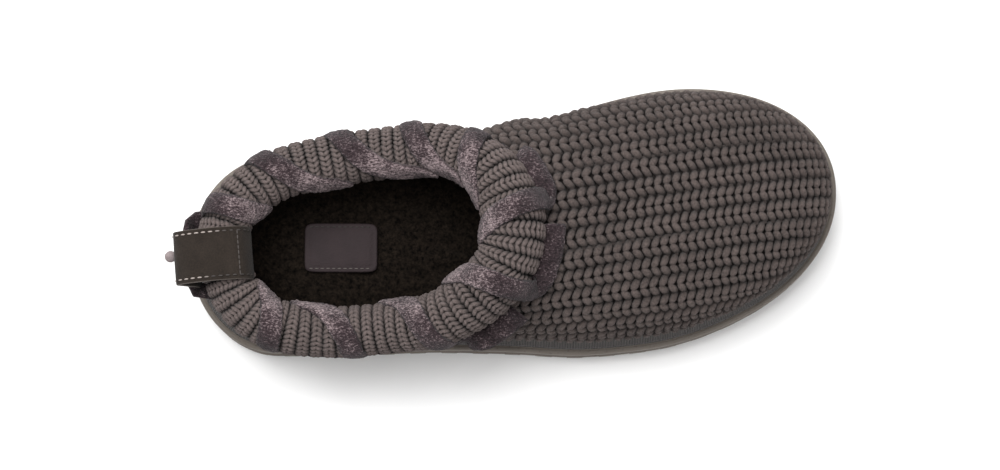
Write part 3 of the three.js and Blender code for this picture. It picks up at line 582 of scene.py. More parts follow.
def section_chain(station, side, sink=0.0):
    """Points of the sections at the stations, from the ridge to the sole, sunk by some
    millimetres, and the length of each dome."""
    station, side = np.broadcast_arrays(np.asarray(station, float), np.asarray(side, float))
    bulge = bulge_inset(station, side)
    x, y = outline(station, side, bulge + sink)
    spine_x = np.maximum(x, FAN_AT * SOLE_LENGTH)
    spine = np.stack([spine_x, centre_at(spine_x), ridge_height(spine_x, sink)], -1)
    foot = np.stack([x, y, sole_top(x) + GAP + BULGE_HEIGHT], -1)
    turn = np.linspace(0, np.pi / 2, DOME_STEPS + 1)
    power = 2 / section_power(x / SOLE_LENGTH)[:, None]
    out = np.sin(turn)[None] ** power
    up = np.abs(np.cos(turn))[None] ** power
    up[:, -1] = 0
    plan = mix(spine[:, None, :2], foot[:, None, :2], out[..., None])
    dome = np.concatenate([plan, mix(foot[:, None, 2:], spine[:, None, 2:], up[..., None])], -1)
    heights = np.linspace(BULGE_HEIGHT, 0, SKIRT_STEPS + 1)[1:]
    inset = skirt_inset(heights[None], bulge[:, None]) + sink
    skirt_x, skirt_y = outline(station[:, None], side[:, None], inset)
    skirt_z = sole_top(skirt_x) + GAP + heights[None]
    chain = np.concatenate([dome, np.stack([skirt_x, skirt_y, skirt_z], -1)], axis=1)
    dome_length = np.linalg.norm(np.diff(dome, axis=1), axis=-1).sum(1)
    return chain, dome_length


def along_chain(chain, distance):
    """The points of chains at a distance from their start, straight between chain points."""
    steps = np.linalg.norm(np.diff(chain, axis=1), axis=-1)
    run = np.concatenate([np.zeros((len(chain), 1)), np.cumsum(steps, axis=1)], axis=1)
    index = np.clip((run <= distance[:, None]).sum(1) - 1, 0, chain.shape[1] - 2)
    rows = np.arange(len(chain))
    share = (distance - run[rows, index]) / np.maximum(steps[rows, index], 1e-9)
    return mix(chain[rows, index], chain[rows, index + 1], np.clip(share, 0, 1)[:, None])


_, ball_dome = section_chain([17.0], [1.0])
print("over the ball the knit is", round(float(ball_dome[0]), 1), "mm from ridge to widest line")

# %% [markdown]
# The collar is a padded roll of knit. It runs along a closed curve in space through sixteen
# points, with a width of its own at each. The curve is a centripetal Catmull-Rom spline, which
# goes through all its points without loops. Frames along it say which way is out and which is up.

# %% Line of the cuff
CUFF_LINE = (  # shares of sole length, ball width and throat height, then the roll's width
    (0.064, -0.005, 0.814, 0.92), (0.083, 0.135, 0.795, 0.98), (0.138, 0.25, 0.763, 0.97),
    (0.218, 0.31, 0.737, 1.0), (0.318, 0.346, 0.744, 1.0), (0.382, 0.354, 0.788, 0.98),
    (0.434, 0.316, 0.872, 1.0), (0.477, 0.215, 0.955, 1.12), (0.4985, 0.056, 1.0, 1.22),
    (0.4865, -0.09, 0.981, 1.18), (0.4455, -0.201, 0.923, 1.17), (0.389, -0.282, 0.833, 1.06),
    (0.316, -0.31, 0.75, 0.96), (0.2255, -0.326, 0.731, 0.97), (0.143, -0.299, 0.756, 0.97),
    (0.092, -0.21, 0.788, 0.97))


def span_slopes(before, start, end, after):
    """Slopes at the start and end of spans of a centripetal Catmull-Rom spline: they come from
    the neighbours, weighed by the square roots of the distances."""
    d0, d1, d2 = (np.sqrt(np.linalg.norm(b - a, axis=1))[:, None]
                  for a, b in ((before, start), (start, end), (end, after)))
    leave = ((start - before) / d0 - (end - before) / (d0 + d1) + (end - start) / d1) * d1
    arrive = ((end - start) / d1 - (after - start) / (d1 + d2) + (after - end) / d2) * d1
    return leave, arrive


def cubic(start, end, leave, arrive, t):
    """The cubic between two points that has the slopes of both."""
    return (start + leave * t + (3 * (end - start) - 2 * leave - arrive) * t ** 2
            + (2 * (start - end) + leave + arrive) * t ** 3)


def closed_spline(points, per_span):
    """Points of the closed curve through the given ones, equally many to a span."""
    before, start, end, after = (np.roll(points, shift, axis=0) for shift in (1, 0, -1, -2))
    leave, arrive = span_slopes(before, start, end, after)
    t = (np.arange(per_span) / per_span)[None, :, None]
    spans = (part[:, None] for part in (start, end, leave, arrive))
    return cubic(*spans, t).reshape(-1, points.shape[1])


def open_spline(points, count):
    """Points of an open curve through the given ones, whose end slopes run straight on."""
    first, last = 2 * points[0] - points[1], 2 * points[-1] - points[-2]
    padded = np.concatenate([[first], points, [last]])
    before, start, end, after = padded[:-3], padded[1:-2], padded[2:-1], padded[3:]
    leave, arrive = span_slopes(before, start, end, after)
    place = np.linspace(0, len(points) - 1 - 1e-9, count)
    k = place.astype(int)
    return cubic(start[k], end[k], leave[k], arrive[k], (place - k)[:, None])


line_scale = np.array([SOLE_LENGTH, BALL_WIDTH, THROAT_HEIGHT])
line_rows = np.array(CUFF_LINE)
SPLINE_STEPS = 120
spline_points = closed_spline(line_rows[:, :3] * line_scale, SPLINE_STEPS)
spline_steps = np.linalg.norm(np.roll(spline_points, -1, axis=0) - spline_points, axis=1)
spline_run = np.concatenate([[0], np.cumsum(spline_steps)])
CUFF_LENGTH = float(spline_run[-1])
spline_slot = np.arange(len(spline_points) + 1) / SPLINE_STEPS
spline_loop = np.concatenate([spline_points, spline_points[:1]])


def cuff_line(share):
    """Centre, outward and upward directions and the two half sizes of the roll, at shares of the
    line's length from the heel: outward is level and square to the line, upward to both."""
    run = (np.asarray(share, float) % 1.0) * CUFF_LENGTH
    at = lambda places: np.stack([np.interp(places % CUFF_LENGTH, spline_run, spline_loop[:, k])
                                  for k in range(3)], -1)
    tangent = unit(at(run + 0.4) - at(run - 0.4))
    outward = np.stack([-tangent[..., 1], tangent[..., 0], np.zeros_like(run)], -1)
    outward = unit(outward)
    upward = unit(np.cross(tangent, outward))
    upward = np.where(upward[..., 2:] < 0, -upward, upward)
    slot = np.interp(run, spline_run, spline_slot)
    low = np.floor(slot).astype(int) % len(line_rows)
    widths = line_rows[:, 3]
    width = mix(widths[low], widths[(low + 1) % len(widths)],
                smooth_step(0, 1, slot - np.floor(slot)))
    half_width = CUFF_WIDTH * width / 2
    half_height = CUFF_WIDTH / 2 + (half_width - CUFF_WIDTH / 2) / 2
    return at(run), outward, upward, half_width, half_height


def cuff_skin(share, angle, lift):
    """A point of the roll at an angle up from the outward direction, lifted off its skin."""
    centre, outward, upward, half_width, half_height = cuff_line(share)
    return (centre + outward * (np.cos(angle) * (half_width + lift))[..., None]
            + upward * (np.sin(angle) * (half_height + lift))[..., None])


def in_cuff(points):
    """How far out each point lies from the roll's line, as a share of its half size, with the
    outward and upward parts in millimetres: measured at the nearest place of the line."""
    shares = np.linspace(0, 1, 480, endpoint=False)
    centre, outward, upward, half_width, half_height = cuff_line(shares)
    flat = np.asarray(points).reshape(-1, 3)
    nearest = np.concatenate([
        np.argmin(((part[:, None] - centre[None]) ** 2).sum(-1), axis=1)
        for part in np.array_split(flat, max(1, len(flat) // 4000))])
    away = flat - centre[nearest]
    out = (away * outward[nearest]).sum(-1)
    up = (away * upward[nearest]).sum(-1)
    share = np.hypot(out / half_width[nearest], up / half_height[nearest])
    shape = np.asarray(points).shape[:-1]
    return share.reshape(shape), out.reshape(shape), up.reshape(shape)


print("the cuff's line is", round(CUFF_LENGTH, 1), "mm long")

# %% [markdown]
# Yarn is the main thing to get right. It is matt and a little hairy, and where it dips under its
# neighbour it is darkened with painted shade. So its colour mixes three scales of noise, the depth
# that the mesh carries darkens it as painted shade, a faint sheen stands for the loose fibres, and
# fine stretched noise gives the strands.

# %% Yarn
def yarn_look(name, dark, light, deep):
    """Soft wool yarn between two colours, with a third one painted in the depths as shade."""
    look = Look(name, Sheen_Weight=0.06, Sheen_Roughness=0.45, Specular_IOR_Level=0.15)
    cloud = look.noise(45.0)
    fleck = look.noise(1150.0, 3.0, 0.7)
    fibres = look.noise(1.0, 3.0, 0.7, look.stretched((4200.0, 2100.0, 3100.0)))
    tone = (cloud * 0.3 + fleck * 0.75 + fibres * 0.45).within(0.45, 1.05)
    colour = look.blend(dark, light, tone)
    # painted shade: the depth value that each mesh carries darkens the yarn towards the deep colour
    depth = look.attribute("depth")
    colour = look.blend(colour, deep, depth)
    return look.finish(Base_Color=colour, Roughness=0.82 + 0.15 * fleck,
                       Normal=look.bump(fibres + fleck * 0.8, 0.0009, 0.9))


# the third colour of each yarn is its painted shade in the depths
UPPER_YARN = yarn_look("grey_brown_yarn", (0.027, 0.0205, 0.0185), (0.172, 0.134, 0.123),
                       (0.0022, 0.0015, 0.0013))
CUFF_YARN = yarn_look("pale_grey_yarn", (0.054, 0.0415, 0.039), (0.255, 0.2, 0.188),
                      (0.003, 0.0021, 0.0019))
print("yarns:", UPPER_YARN.name, "and", CUFF_YARN.name)

# %% [markdown]
# A knitted stitch shows as a V of two plump lobes. One lobe is a short bead of yarn along a bent
# line, thick in the middle and closed at both ends. It is made once, with a few dozen faces, in
# three measures of its own: along the wale, across it, and up from the cloth. Thousands of copies
# are then set down at once, each with its own three directions.

# %% One lobe of yarn
def lobe_shape(sections, sides, start, end, bow, radius, height_start, height_end, flat):
    """A bead along the line from start to end (along, across), bowed outwards in the middle, that
    dips with the square of the way along it. Its thickness follows the sine of the way along it,
    to a power, so both ends close in a point."""
    turn = np.pi * np.arange(sections + 1) / sections
    t = (1 - np.cos(turn)) / 2
    thick = np.maximum(np.sin(turn), 0) ** 0.62
    arch = 4 * t * (1 - t)
    line = np.stack([mix(start[0], end[0], t), mix(start[1], end[1], t) + bow * arch,
                     mix(height_start, height_end, t ** 2) + 0.35 * radius * arch], -1)
    run = unit(np.gradient(line, axis=0))
    level = unit(np.stack([-run[:, 1], run[:, 0], np.zeros(len(t))], -1))
    lift = np.cross(run, level)
    angle = 2 * np.pi * np.arange(sides) / sides
    ring = carry(line, level, lift, np.outer(thick * radius, np.cos(angle)),
                 np.outer(thick * radius * flat, np.sin(angle)))
    return closed_tube(ring[1:-1], line[[0, -1]])


def set_down(shape, centres, along, across, up, mirror, size):
    """Copies of a shape, one at each centre: its three measures times the three directions
    there. A mirrored copy has its across measure turned round, and its faces too."""
    points, quads, tips = shape
    local = points[None] * size[:, None, :]
    side = np.where(mirror, -1.0, 1.0)
    placed = (centres[:, None] + local[..., :1] * along[:, None]
              + local[..., 1:2] * (across * side[:, None])[:, None]
              + local[..., 2:] * up[:, None])
    offset = (np.arange(len(centres)) * len(points))[:, None, None]
    faces = []
    for part in (quads, tips):
        turned = np.where(mirror[:, None, None], part[None, :, ::-1], part[None])
        faces.append((turned + offset).reshape(-1, part.shape[1]))
    height = np.broadcast_to(points[None, :, 2], placed.shape[:2])
    return placed.reshape(-1, 3), faces, height.reshape(-1)


STITCH = lobe_shape(7, 8, (-2.3, -0.1), (1.7, 3.62), 0.4, 1.72, 0.35, -3.0, 0.92)
PURL = lobe_shape(4, 6, (-0.9, 0.0), (0.9, 0.0), 0.0, 1.05, 0.0, 0.0, 0.9)
CUFF_STITCH = lobe_shape(6, 6, (-1.5, -0.1), (1.2, 2.35), 0.2, 1.0, 0.3, -1.7, 0.9)
print("a lobe of the upper has", len(STITCH[1]) + len(STITCH[2]), "faces")

# %% [markdown]
# The wales, the columns of stitches, run the length of the shoe at equal distances from the
# ridge, and the ribbon cuts them off at the toe. Towards the heel they turn parallel to the sole,
# so that both sides meet at the back. Along each wale the stitches lie about 4 mm apart, a little
# closer at the toe. Those that the cuff covers are left out.

# %% Wales of the upper
TURN_FROM, TURN_TO = 30.0, 110.0  # mm from the heel between which the wales turn
MOST_WALES = 24  # more than either side has room for
BEHIND_RIBBON = 3.6  # mm that the lowest wale may stand behind the ribbon
LOBE_PITCH = 4.05  # mm between stitches for which the lobe was drawn
SEED = np.random.default_rng(7)


def wale_distance(station, side, row):
    """Distance of a wale from the ridge: its number times the pitch in front, and a steady
    height above the widest line at the heel."""
    _, dome = section_chain(station, side)
    x, _ = outline(station, side, BULGE_INSET)
    reference = HEEL_END + (BODY_END - HEEL_END) * (
        (TURN_TO - HEEL_REACH * SOLE_LENGTH) / ((1 - TOE_REACH - HEEL_REACH) * SOLE_LENGTH))
    _, there = section_chain([reference], [side])
    above = there[0] - row * WALE_PITCH
    snapped = (np.round(above / WALE_PITCH - 0.5) + 0.5) * WALE_PITCH
    turned = dome - mix(snapped, above, smooth_step(TURN_FROM, TURN_TO, x))
    return np.where(x >= TURN_TO, row * WALE_PITCH, turned), dome


def stitch_pitch(x):
    return mix(4.2, 3.5, smooth_step(120.0, 250.0, x))


def wale_stitches(side, row):
    """Centres and directions of the stitches of one wale, at equal steps of the pitch along it."""
    fine = np.linspace(0.02, TOE_END - 0.02, 900)
    reach, dome = wale_distance(fine, side, row)
    chain, _ = section_chain(fine, side)
    total = np.linalg.norm(np.diff(chain, axis=1), axis=-1).sum(1)
    tucked = total - TAPE_HEIGHT + BEHIND_RIBBON
    inside = (reach >= -0.01) & (reach < tucked)
    if inside.sum() < 3:
        return None
    curve = along_chain(chain, np.clip(reach, 0, tucked))
    steps = np.linalg.norm(np.diff(curve, axis=0), axis=1)
    steps = np.where(inside[1:] & inside[:-1], steps, 0) / stitch_pitch(curve[1:, 0])
    run = np.concatenate([[0], np.cumsum(steps)])
    wanted = np.arange(0.5 + 0.5 * (row % 2), run[-1], 1.0)
    station = np.interp(wanted, run + np.arange(len(run)) * 1e-9, fine)
    return stitch_frames(station, side, row)


def stitch_frames(station, side, row):
    """Place, along, across and up of stitches: differences of nearby points of the surface."""
    def at(shift, drop):
        places = np.clip(station + shift, 0.0, TOE_END)
        reach, _ = wale_distance(places, side, row)
        chain, _ = section_chain(places, side)
        return along_chain(chain, np.maximum(reach + drop, 0.0))
    centre = at(0, 0)
    along = unit(at(0.05, 0) - at(-0.05, 0))
    across = at(0, 0.6) - at(0, -0.6 if row else 0.0)
    across = unit(across - along * (across * along).sum(-1, keepdims=True))
    if row == 0:
        across = unit(np.stack([0 * station, np.full(len(station), float(side)), 0 * station], -1))
    up = unit(np.cross(along, across)) * side
    return centre, along, across, up


def visible(centre):
    """True where a place is neither in the cuff's roll nor inside the opening."""
    share, out, up = in_cuff(centre)
    return (share > 0.98) & ~((out < 0) & (up > -CUFF_WIDTH * 0.44))


def wales(side):
    """The number of each wale that has stitches, with their places and directions."""
    for row in range(MOST_WALES):
        frames = wale_stitches(side, row)
        if frames is not None:
            yield row, frames


def collect(side):
    """All stitches of one side of the shoe, as centres, directions and which half to draw."""
    found = []
    for row, frames in wales(side):
        keep = visible(frames[0])
        centre, along, across, up = (part[keep] for part in frames)
        if row == 0:
            found.append((centre, along, across, up, np.zeros(len(centre), bool)))
        else:
            for mirror in (False, True):
                found.append((centre, along, across, up, np.full(len(centre), mirror)))
    return [np.concatenate(parts) for parts in zip(*found)]


def knit_side(name, side):
    """The stitches of one side as one mesh: lobes a little uneven in size and lie."""
    centre, along, across, up, mirror = collect(side)
    count = len(centre)
    tight = stitch_pitch(centre[:, 0]) / LOBE_PITCH
    size = np.stack([tight, np.ones(count), np.ones(count)], -1) * SEED.normal(1, 0.035, (count, 3))
    turn = SEED.normal(0, 0.06, (count, 1))
    leaning = unit(along + across * turn)
    centre = centre + up * SEED.normal(-1.2, 0.1, (count, 1))
    points, faces, height = set_down(STITCH, centre, leaning, across, up, mirror, size)
    # painted shade: the low parts of each lobe, where it dips under the next stitch, are darkened
    depth = 1 - smooth_step(-0.9, 2.3, height)
    return make_piece(name, points, faces, UPPER_YARN, values={"depth": depth * 0.92},
                      closed=False)


knit_side("knit_big_toe_side", 1)
knit_side("knit_little_toe_side", -1)

# %% [markdown]
# Between two wales the back of the fabric shows as a row of small beads, sunk in the furrow. They
# are the same stitches seen from behind, so each sits level with a stitch and half a pitch to
# the side.

# %% Purl beads in the furrows
PURL_SINK = 2.1  # mm from the knit's face down to the beads


def purl_side(side):
    """The beads beside the stitches of all wales: half a wale across and sunk in."""
    found = []
    for _, (centre, along, across, up) in wales(side):
        centre = centre + across * WALE_PITCH / 2 - up * PURL_SINK
        keep = visible(centre)
        found.append([part[keep] for part in (centre, along, across, up)])
    return [np.concatenate(parts) for parts in zip(*found)]


purl_parts = [np.concatenate(parts) for parts in zip(purl_side(1), purl_side(-1))]
purl_count = len(purl_parts[0])
purl_points, purl_faces, _ = set_down(
    PURL, *purl_parts, np.zeros(purl_count, bool), SEED.normal(1, 0.06, (purl_count, 3)))
# painted shade: every bead is darkened by a depth of 0.6, for the shade in the furrow
make_piece("purl_beads", purl_points, purl_faces, UPPER_YARN, closed=False,
           values={"depth": np.full(len(purl_points), 0.6)})

# %% [markdown]
# Behind the stitches lies the body of the upper: one closed wall with the knit's ground outside
# and the fleece lining inside. The ground is the upper's yarn darkened almost to its deep colour,
# a dark sheet of painted shade that shows between the stitches. It is a stack of rings from the
# sole up to where the wall enters the cuff, or up to the ridge in front of it, then back down on
# the lining's side.

# %% Wall of the upper
WALL_ROWS = 40
GROUND_SINK = 2.7


def wall_ends():
    """For each ring place, how far up its section the wall goes, as a step of the chain: it stops
    inside the roll, or at the ridge."""
    chain, _ = section_chain(RING[0], RING[1])
    share, out, up = in_cuff(chain)
    inside = (share < 0.75) | ((out < 0) & (up > -CUFF_WIDTH * 0.3) & (share < 1.6))
    steps = np.arange(chain.shape[1])[None]
    ends = np.where(inside, steps, -1).max(axis=1).astype(float)
    ends = np.maximum(ends, 0)
    smoothed = np.convolve(np.concatenate([ends[-2:], ends, ends[:2]]), np.ones(5) / 5, "valid")
    return np.where(ends > 0, smoothed, 0)


def chain_rows(sink, ends, lowest):
    """Rows of points from the chain's foot up to the ends, sunk by some millimetres."""
    chain, _ = section_chain(RING[0], RING[1], sink)
    last = chain.shape[1] - 1
    step = mix(np.full(len(ends), last - lowest)[None], ends[None],
               np.linspace(0, 1, WALL_ROWS)[:, None])
    low = np.clip(np.floor(step).astype(int), 0, last - 1)
    places = np.arange(len(ends))[None]
    return mix(chain[places, low], chain[places, low + 1], (step - low)[..., None])


def waves(points, size, count, seed):
    """Random relief: the mean of many cosine waves of about one size in all directions."""
    draw = np.random.default_rng(seed)
    direction = unit(draw.normal(size=(count, 3)))
    number = direction * (2 * np.pi / (size * draw.uniform(0.75, 1.35, (count, 1))))
    phase = draw.uniform(0, 2 * np.pi, count)
    total = np.zeros(points.shape[:-1])
    for k in range(count):
        total += np.cos(points @ number[k] + phase[k])
    return total * math.sqrt(2 / count)


def make_wall(look):
    """Outer rows, then the lining's rows back down, as one closed loop of rings."""
    ends = wall_ends()
    outer = chain_rows(GROUND_SINK, ends, 0)
    inner = chain_rows(WALL, ends, 0)[::-1]
    rings = np.concatenate([outer, inner])
    count = rings.shape[1]
    faces = grid_faces(len(rings), count, True, True)
    # painted shade: the outer face is darkened by 0.85 towards the yarn's deep colour, the inner
    # fully
    depth = np.repeat([0.85, 1.0], [WALL_ROWS, WALL_ROWS])[:, None] * np.ones(count)
    return make_piece("knit_ground", rings.reshape(-1, 3), faces, look, ["upper"],
                      {"depth": depth}, merge=1e-6)


make_wall(UPPER_YARN)

# %% [markdown]
# The inside is lined with dense brown fleece. On the wall it is a second skin whose surface is
# ruffled by waves of about 3 mm, and the same fleece covers the insole, which is a flat bed with
# a cove round its edge. On the insole the fleece is painted far darker than on the wall, as
# painted shade deep inside the shoe. Both are too dark to show single hairs, so the ruffle and a
# strong bump carry the look.

# %% Fleece
INSOLE_STATIONS, INSOLE_LANES = 200, 84
RIBBON_CLEAR = 1.2  # mm that the insole's rim stays in from the wall behind the ribbon


def fleece_look(name, dark, light):
    """Curls of two sizes between two colours, almost without gloss."""
    look = Look(name, Sheen_Weight=0.03, Sheen_Roughness=0.4, Specular_IOR_Level=0.05)
    curl = look.noise(480.0, 3.0, 0.65)
    hair = look.noise(1100.0, 3.0, 0.75)
    colour = look.blend(dark, light, (curl * 0.7 + hair * 0.65).within(0.52, 0.9))
    return look.finish(Base_Color=colour, Roughness=0.9 + 0.1 * hair,
                       Normal=look.bump(curl * 0.5 + hair, 0.0007, 0.9))


# painted shade: the insole's fleece is the lining's fleece made far darker
SHADED_FLEECE = fleece_look("brown_fleece_painted_shade", (0.0006, 0.0004, 0.0003), (0.0145, 0.0104, 0.0075))
LINING = fleece_look("brown_lining", (0.006, 0.0043, 0.0034), (0.085, 0.066, 0.056))


def make_lining():
    """The lining's own skin, just inside the wall, ruffled towards the foot."""
    ends = wall_ends()
    rows = chain_rows(WALL - 0.1, ends, SKIRT_STEPS * 0.4)
    inward = unit(np.stack([130 - rows[..., 0], -rows[..., 1], 0 * rows[..., 2]], -1))
    ruffle = 0.5 + 0.55 * waves(rows, 3.4, 26, 3) * 0.6
    front = rows + inward * (0.4 + np.clip(ruffle, 0, 1.4))[..., None]
    back = rows[::-1] - inward[::-1] * 0.2
    rings = np.concatenate([front, back])
    return make_piece("fleece_lining", rings.reshape(-1, 3),
                      grid_faces(len(rings), rings.shape[1], True, True), LINING,
                      merge=1e-6)


def insole_height(x):
    return sole_top(x) + GAP + INSOLE_THICKNESS


def make_insole():
    """A bed from edge to edge in lanes: flat in the middle, risen in a cove at the wall, ruffled
    all over, and closed underneath by the sole's own surface."""
    stations = even_stations(INSOLE_STATIONS)[1:-1]
    cove_top = INSOLE_THICKNESS + INSOLE_COVE
    rims = []
    for side in (1.0, -1.0):
        bulge = bulge_inset(stations, side)
        behind_ribbon = skirt_inset(TAPE_HEIGHT, bulge) + RIBBON_CLEAR
        inset = np.maximum(skirt_inset(cove_top, bulge) + WALL + GAP, behind_ribbon)
        x, y = outline(stations, side, inset)
        rims.append(np.stack([x, y], -1))
    lanes = INSOLE_LANES
    share = np.linspace(0, 1, lanes)[None, :, None]
    plan = mix(rims[0][:, None], rims[1][:, None], share)
    width = np.linalg.norm(rims[0] - rims[1], axis=1)[:, None]
    edge = np.minimum(share[..., 0], 1 - share[..., 0]) * width
    ends = np.minimum(plan[..., 0] - plan[0, 0, 0], plan[-1, 0, 0] - plan[..., 0])
    rise = (1 - smooth_step(0, COVE_WIDTH, np.minimum(edge, ends + 2))) * INSOLE_COVE
    flat = np.concatenate([plan, np.zeros((*plan.shape[:2], 1))], -1)
    pile = waves(flat, 3.4, 40, 5) * 0.28 + waves(flat, 8.0, 20, 9) * 0.4
    top = np.concatenate([plan, (insole_height(plan[..., 0]) + rise + pile)[..., None]], -1)
    base = np.concatenate([plan, (sole_top(plan[..., 0]) + GAP)[..., None]], -1)
    count = top.shape[0] * lanes
    border = np.concatenate([np.arange(lanes), np.arange(1, top.shape[0]) * lanes + lanes - 1,
                             (top.shape[0] - 1) * lanes + np.arange(lanes - 2, -1, -1),
                             np.arange(top.shape[0] - 2, 0, -1) * lanes])
    after = np.roll(border, -1)
    sides = np.stack([border, after, after + count, border + count], -1)
    upper = grid_faces(top.shape[0], lanes)
    faces = np.concatenate([upper[:, ::-1], upper + count, sides])
    return make_piece("fleece_insole", np.concatenate([top.reshape(-1, 3), base.reshape(-1, 3)]),
                      faces, SHADED_FLEECE, ["insole"])


make_lining()
make_insole()

# %% [markdown]
# The cuff is knitted finer than the upper, in wales that run round the roll. Its ground is a soft
# padded tube, drawn in between the wales and darkened there with painted shade. On it lie the
# lobes, smaller than those of the upper, with the wales about 5 mm apart and the courses 2 mm
# apart.

# %% Padded cuff
CUFF_WALES = 60
CUFF_COURSE = 2.05
CUFF_RELIEF = 0.7
CUFF_LOBE_PITCH = 5.2  # mm between wales for which the lobe was drawn
CUFF_HIDDEN = math.radians(228), math.radians(288)  # round the roll, inside the wall


def make_cuff_pad():
    """The tube: its radius swells and sinks by a cosine from wale to wale."""
    steps, sides = CUFF_WALES * 8, 36
    share = np.repeat(np.arange(steps) / steps, sides)
    angle = np.tile(2 * np.pi * np.arange(sides) / sides, steps)
    wave = np.cos(share * CUFF_WALES * 2 * np.pi)
    points = cuff_skin(share, angle, -1.5 + wave * CUFF_RELIEF)
    # painted shade: the pad is darkened, most where it sinks between the wales
    depth = 0.75 - 0.25 * wave
    pad = make_piece("cuff_pad", points, grid_faces(steps, sides, True, True), CUFF_YARN,
                     ["collar_roll"], {"depth": depth})
    return pad


def knit_cuff():
    """Lobes round the roll, course by course, leaving out what lies inside the shoe's wall."""
    round_length = 2 * np.pi * CUFF_WIDTH / 2
    courses = int(round_length / CUFF_COURSE)
    share = np.repeat(np.arange(CUFF_WALES) / CUFF_WALES, courses)
    row = np.tile(np.arange(courses), CUFF_WALES)
    angle = row * 2 * np.pi / courses + 0.05 * np.repeat(np.arange(CUFF_WALES) % 2, courses)
    turned = angle % (2 * np.pi)
    hidden = (turned > CUFF_HIDDEN[0]) & (turned < CUFF_HIDDEN[1])
    share, angle = share[~hidden], angle[~hidden]
    centre = cuff_skin(share, angle, -0.5)
    along = unit(cuff_skin(share, angle - 0.02, 0.0) - cuff_skin(share, angle + 0.02, 0.0))
    step = cuff_skin(share + 0.5 / CUFF_WALES, angle, 0) - cuff_skin(share - 0.5 / CUFF_WALES,
                                                                    angle, 0)
    pitch = np.linalg.norm(step, axis=-1)
    across = unit(step - along * (step * along).sum(-1, keepdims=True))
    up = unit(np.cross(along, across))
    out = centre - cuff_line(share)[0]
    up = up * np.sign((up * out).sum(-1, keepdims=True))
    parts = []
    for mirror in (False, True):
        count = len(centre)
        size = np.stack([np.ones(count), np.clip(pitch / CUFF_LOBE_PITCH, 0.6, 1.35),
                         np.ones(count)], -1) * SEED.normal(1, 0.04, (count, 3))
        parts.append((centre + up * SEED.normal(0, 0.06, (count, 1)), along, across, up,
                      np.full(count, mirror), size))
    joined = [np.concatenate(values) for values in zip(*parts)]
    points, faces, height = set_down(CUFF_STITCH, *joined)
    # painted shade: the low parts of each cuff lobe are darkened
    depth = 0.92 * (1 - smooth_step(-0.7, 1.5, height))
    return make_piece("cuff_knit", points, faces, CUFF_YARN, values={"depth": depth},
                      closed=False)


make_cuff_pad()
knit_cuff()

# %% [markdown]
# A soft suede lace is whipped round the cuff. Each wrap comes along the outer foot of the roll,
# climbs over it at a slant and goes down inside. The path is the same as that of the solids: a
# few way-points with a share of the cuff's line, an angle round the roll, and how far the lace
# still lies on the foot. The strip is carried along it and ruffled, because its nap is worn.

# %% Lace
LACE_WRAPS = ((0.034, 0.06), (0.1, 0.168), (0.195, 0.283), (0.293, 0.357), (0.376, 0.42),
              (0.47, 0.496), (0.55, 0.592), (0.656, 0.7), (0.766, 0.818), (0.867, 0.9))
LACE_CLIMB = ((0.12, 0.7), (0.32, 1.5), (0.68, 2.25), (1.0, 2.65), (1.3, 2.9), (1.55, 3.3))
LACE_LIFT = 1.45  # mm from the roll's skin to the middle of the lace, which presses the knit in
BASE_ANGLE = -1.05
LOOP_SHARE, LOOP_FADE, LOOP_PUSH, LOOP_DROP, LOOP_LACE_ANGLE = -0.016, 3.5, 4.4, 7.0, -0.25
LACE_STEPS, LACE_SIDES = 90, 22
LOOP_SHIFT = 1.6  # mm along the cuff from the loop's place to the middle of the push
VAMP_FROM, VAMP_TO = (0.38, 0.43), (0.61, 0.68)  # shares where the lace takes to the vamp
VAMP_AHEAD, VAMP_CLEAR = 0.42, 0.65  # of the lace's width before the roll, and mm above


def vamp_height(x, y):
    """Height of the knit over a place in plan: the superellipse of the section there."""
    side = np.where(y > centre_at(x), 1.0, -1.0)
    half = plan_half(x / SOLE_LENGTH) * BALL_WIDTH - bulge_at(x, side)
    across = np.clip((y - centre_at(x)) * side / half, 0, 1)
    power = section_power(x / SOLE_LENGTH)
    foot = sole_top(x) + GAP + BULGE_HEIGHT
    return foot + (ridge_height(x, 0) - foot) * (1 - across ** power) ** (1 / power)


def lace_base(share):
    """Where the lace lies along the outer foot of the roll, and which way its face looks there:
    under the swell at the sides, flat on the vamp in front, pushed out over the heel loop."""
    centre, outward, upward, half_width, half_height = cuff_line(share)
    from_heel = np.where(share % 1 > 0.5, share % 1 - 1, share % 1)
    from_loop = abs((from_heel - LOOP_SHARE) * CUFF_LENGTH - LOOP_SHIFT)
    away = from_loop - LOOP_WIDTH / 2
    push = 1 - smooth_step(-1.0, LOOP_FADE - 1.0, away)
    front = smooth_step(*VAMP_FROM, share % 1) * (1 - smooth_step(*VAMP_TO, share % 1))
    angle = mix(BASE_ANGLE, LOOP_LACE_ANGLE, push)
    out_part = np.cos(angle) * (half_width + LACE_LIFT) + push * LOOP_PUSH
    up_part = np.sin(angle) * (half_height + LACE_LIFT) - push * LOOP_DROP
    under = centre + outward * out_part[:, None] + upward * up_part[:, None]
    ahead = centre + outward * (half_width + LACE_WIDTH * VAMP_AHEAD)[:, None]
    on_vamp = vamp_height(ahead[:, 0], ahead[:, 1]) + VAMP_CLEAR + LACE_LIFT
    ahead[:, 2] = np.maximum(on_vamp, under[:, 2])
    normal = outward * np.cos(angle)[:, None] + upward * np.sin(angle)[:, None]
    flat = unit(outward * 0.25 + np.array([0, 0, 1.0]))
    return mix(under, ahead, front[:, None]), mix(normal, flat, front[:, None])


def lace_route(starts, ends, before):
    """Way-points of one wrap, as rows of share (times 20), angle and how far it is on the base."""
    step = LACE_WIDTH * 0.75 / CUFF_LENGTH
    leaves = starts - step / 2
    rows = [(before + step, BASE_ANGLE, 1), (mix(before + step, leaves, 0.5), BASE_ANGLE, 1),
            (leaves, BASE_ANGLE, 1), (starts, -0.05, 0.5)]
    rows += [(mix(starts, ends, lean), angle, 0) for lean, angle in LACE_CLIMB]
    return open_spline(np.array(rows, float) * np.array([20.0, 1, 1]), LACE_STEPS)


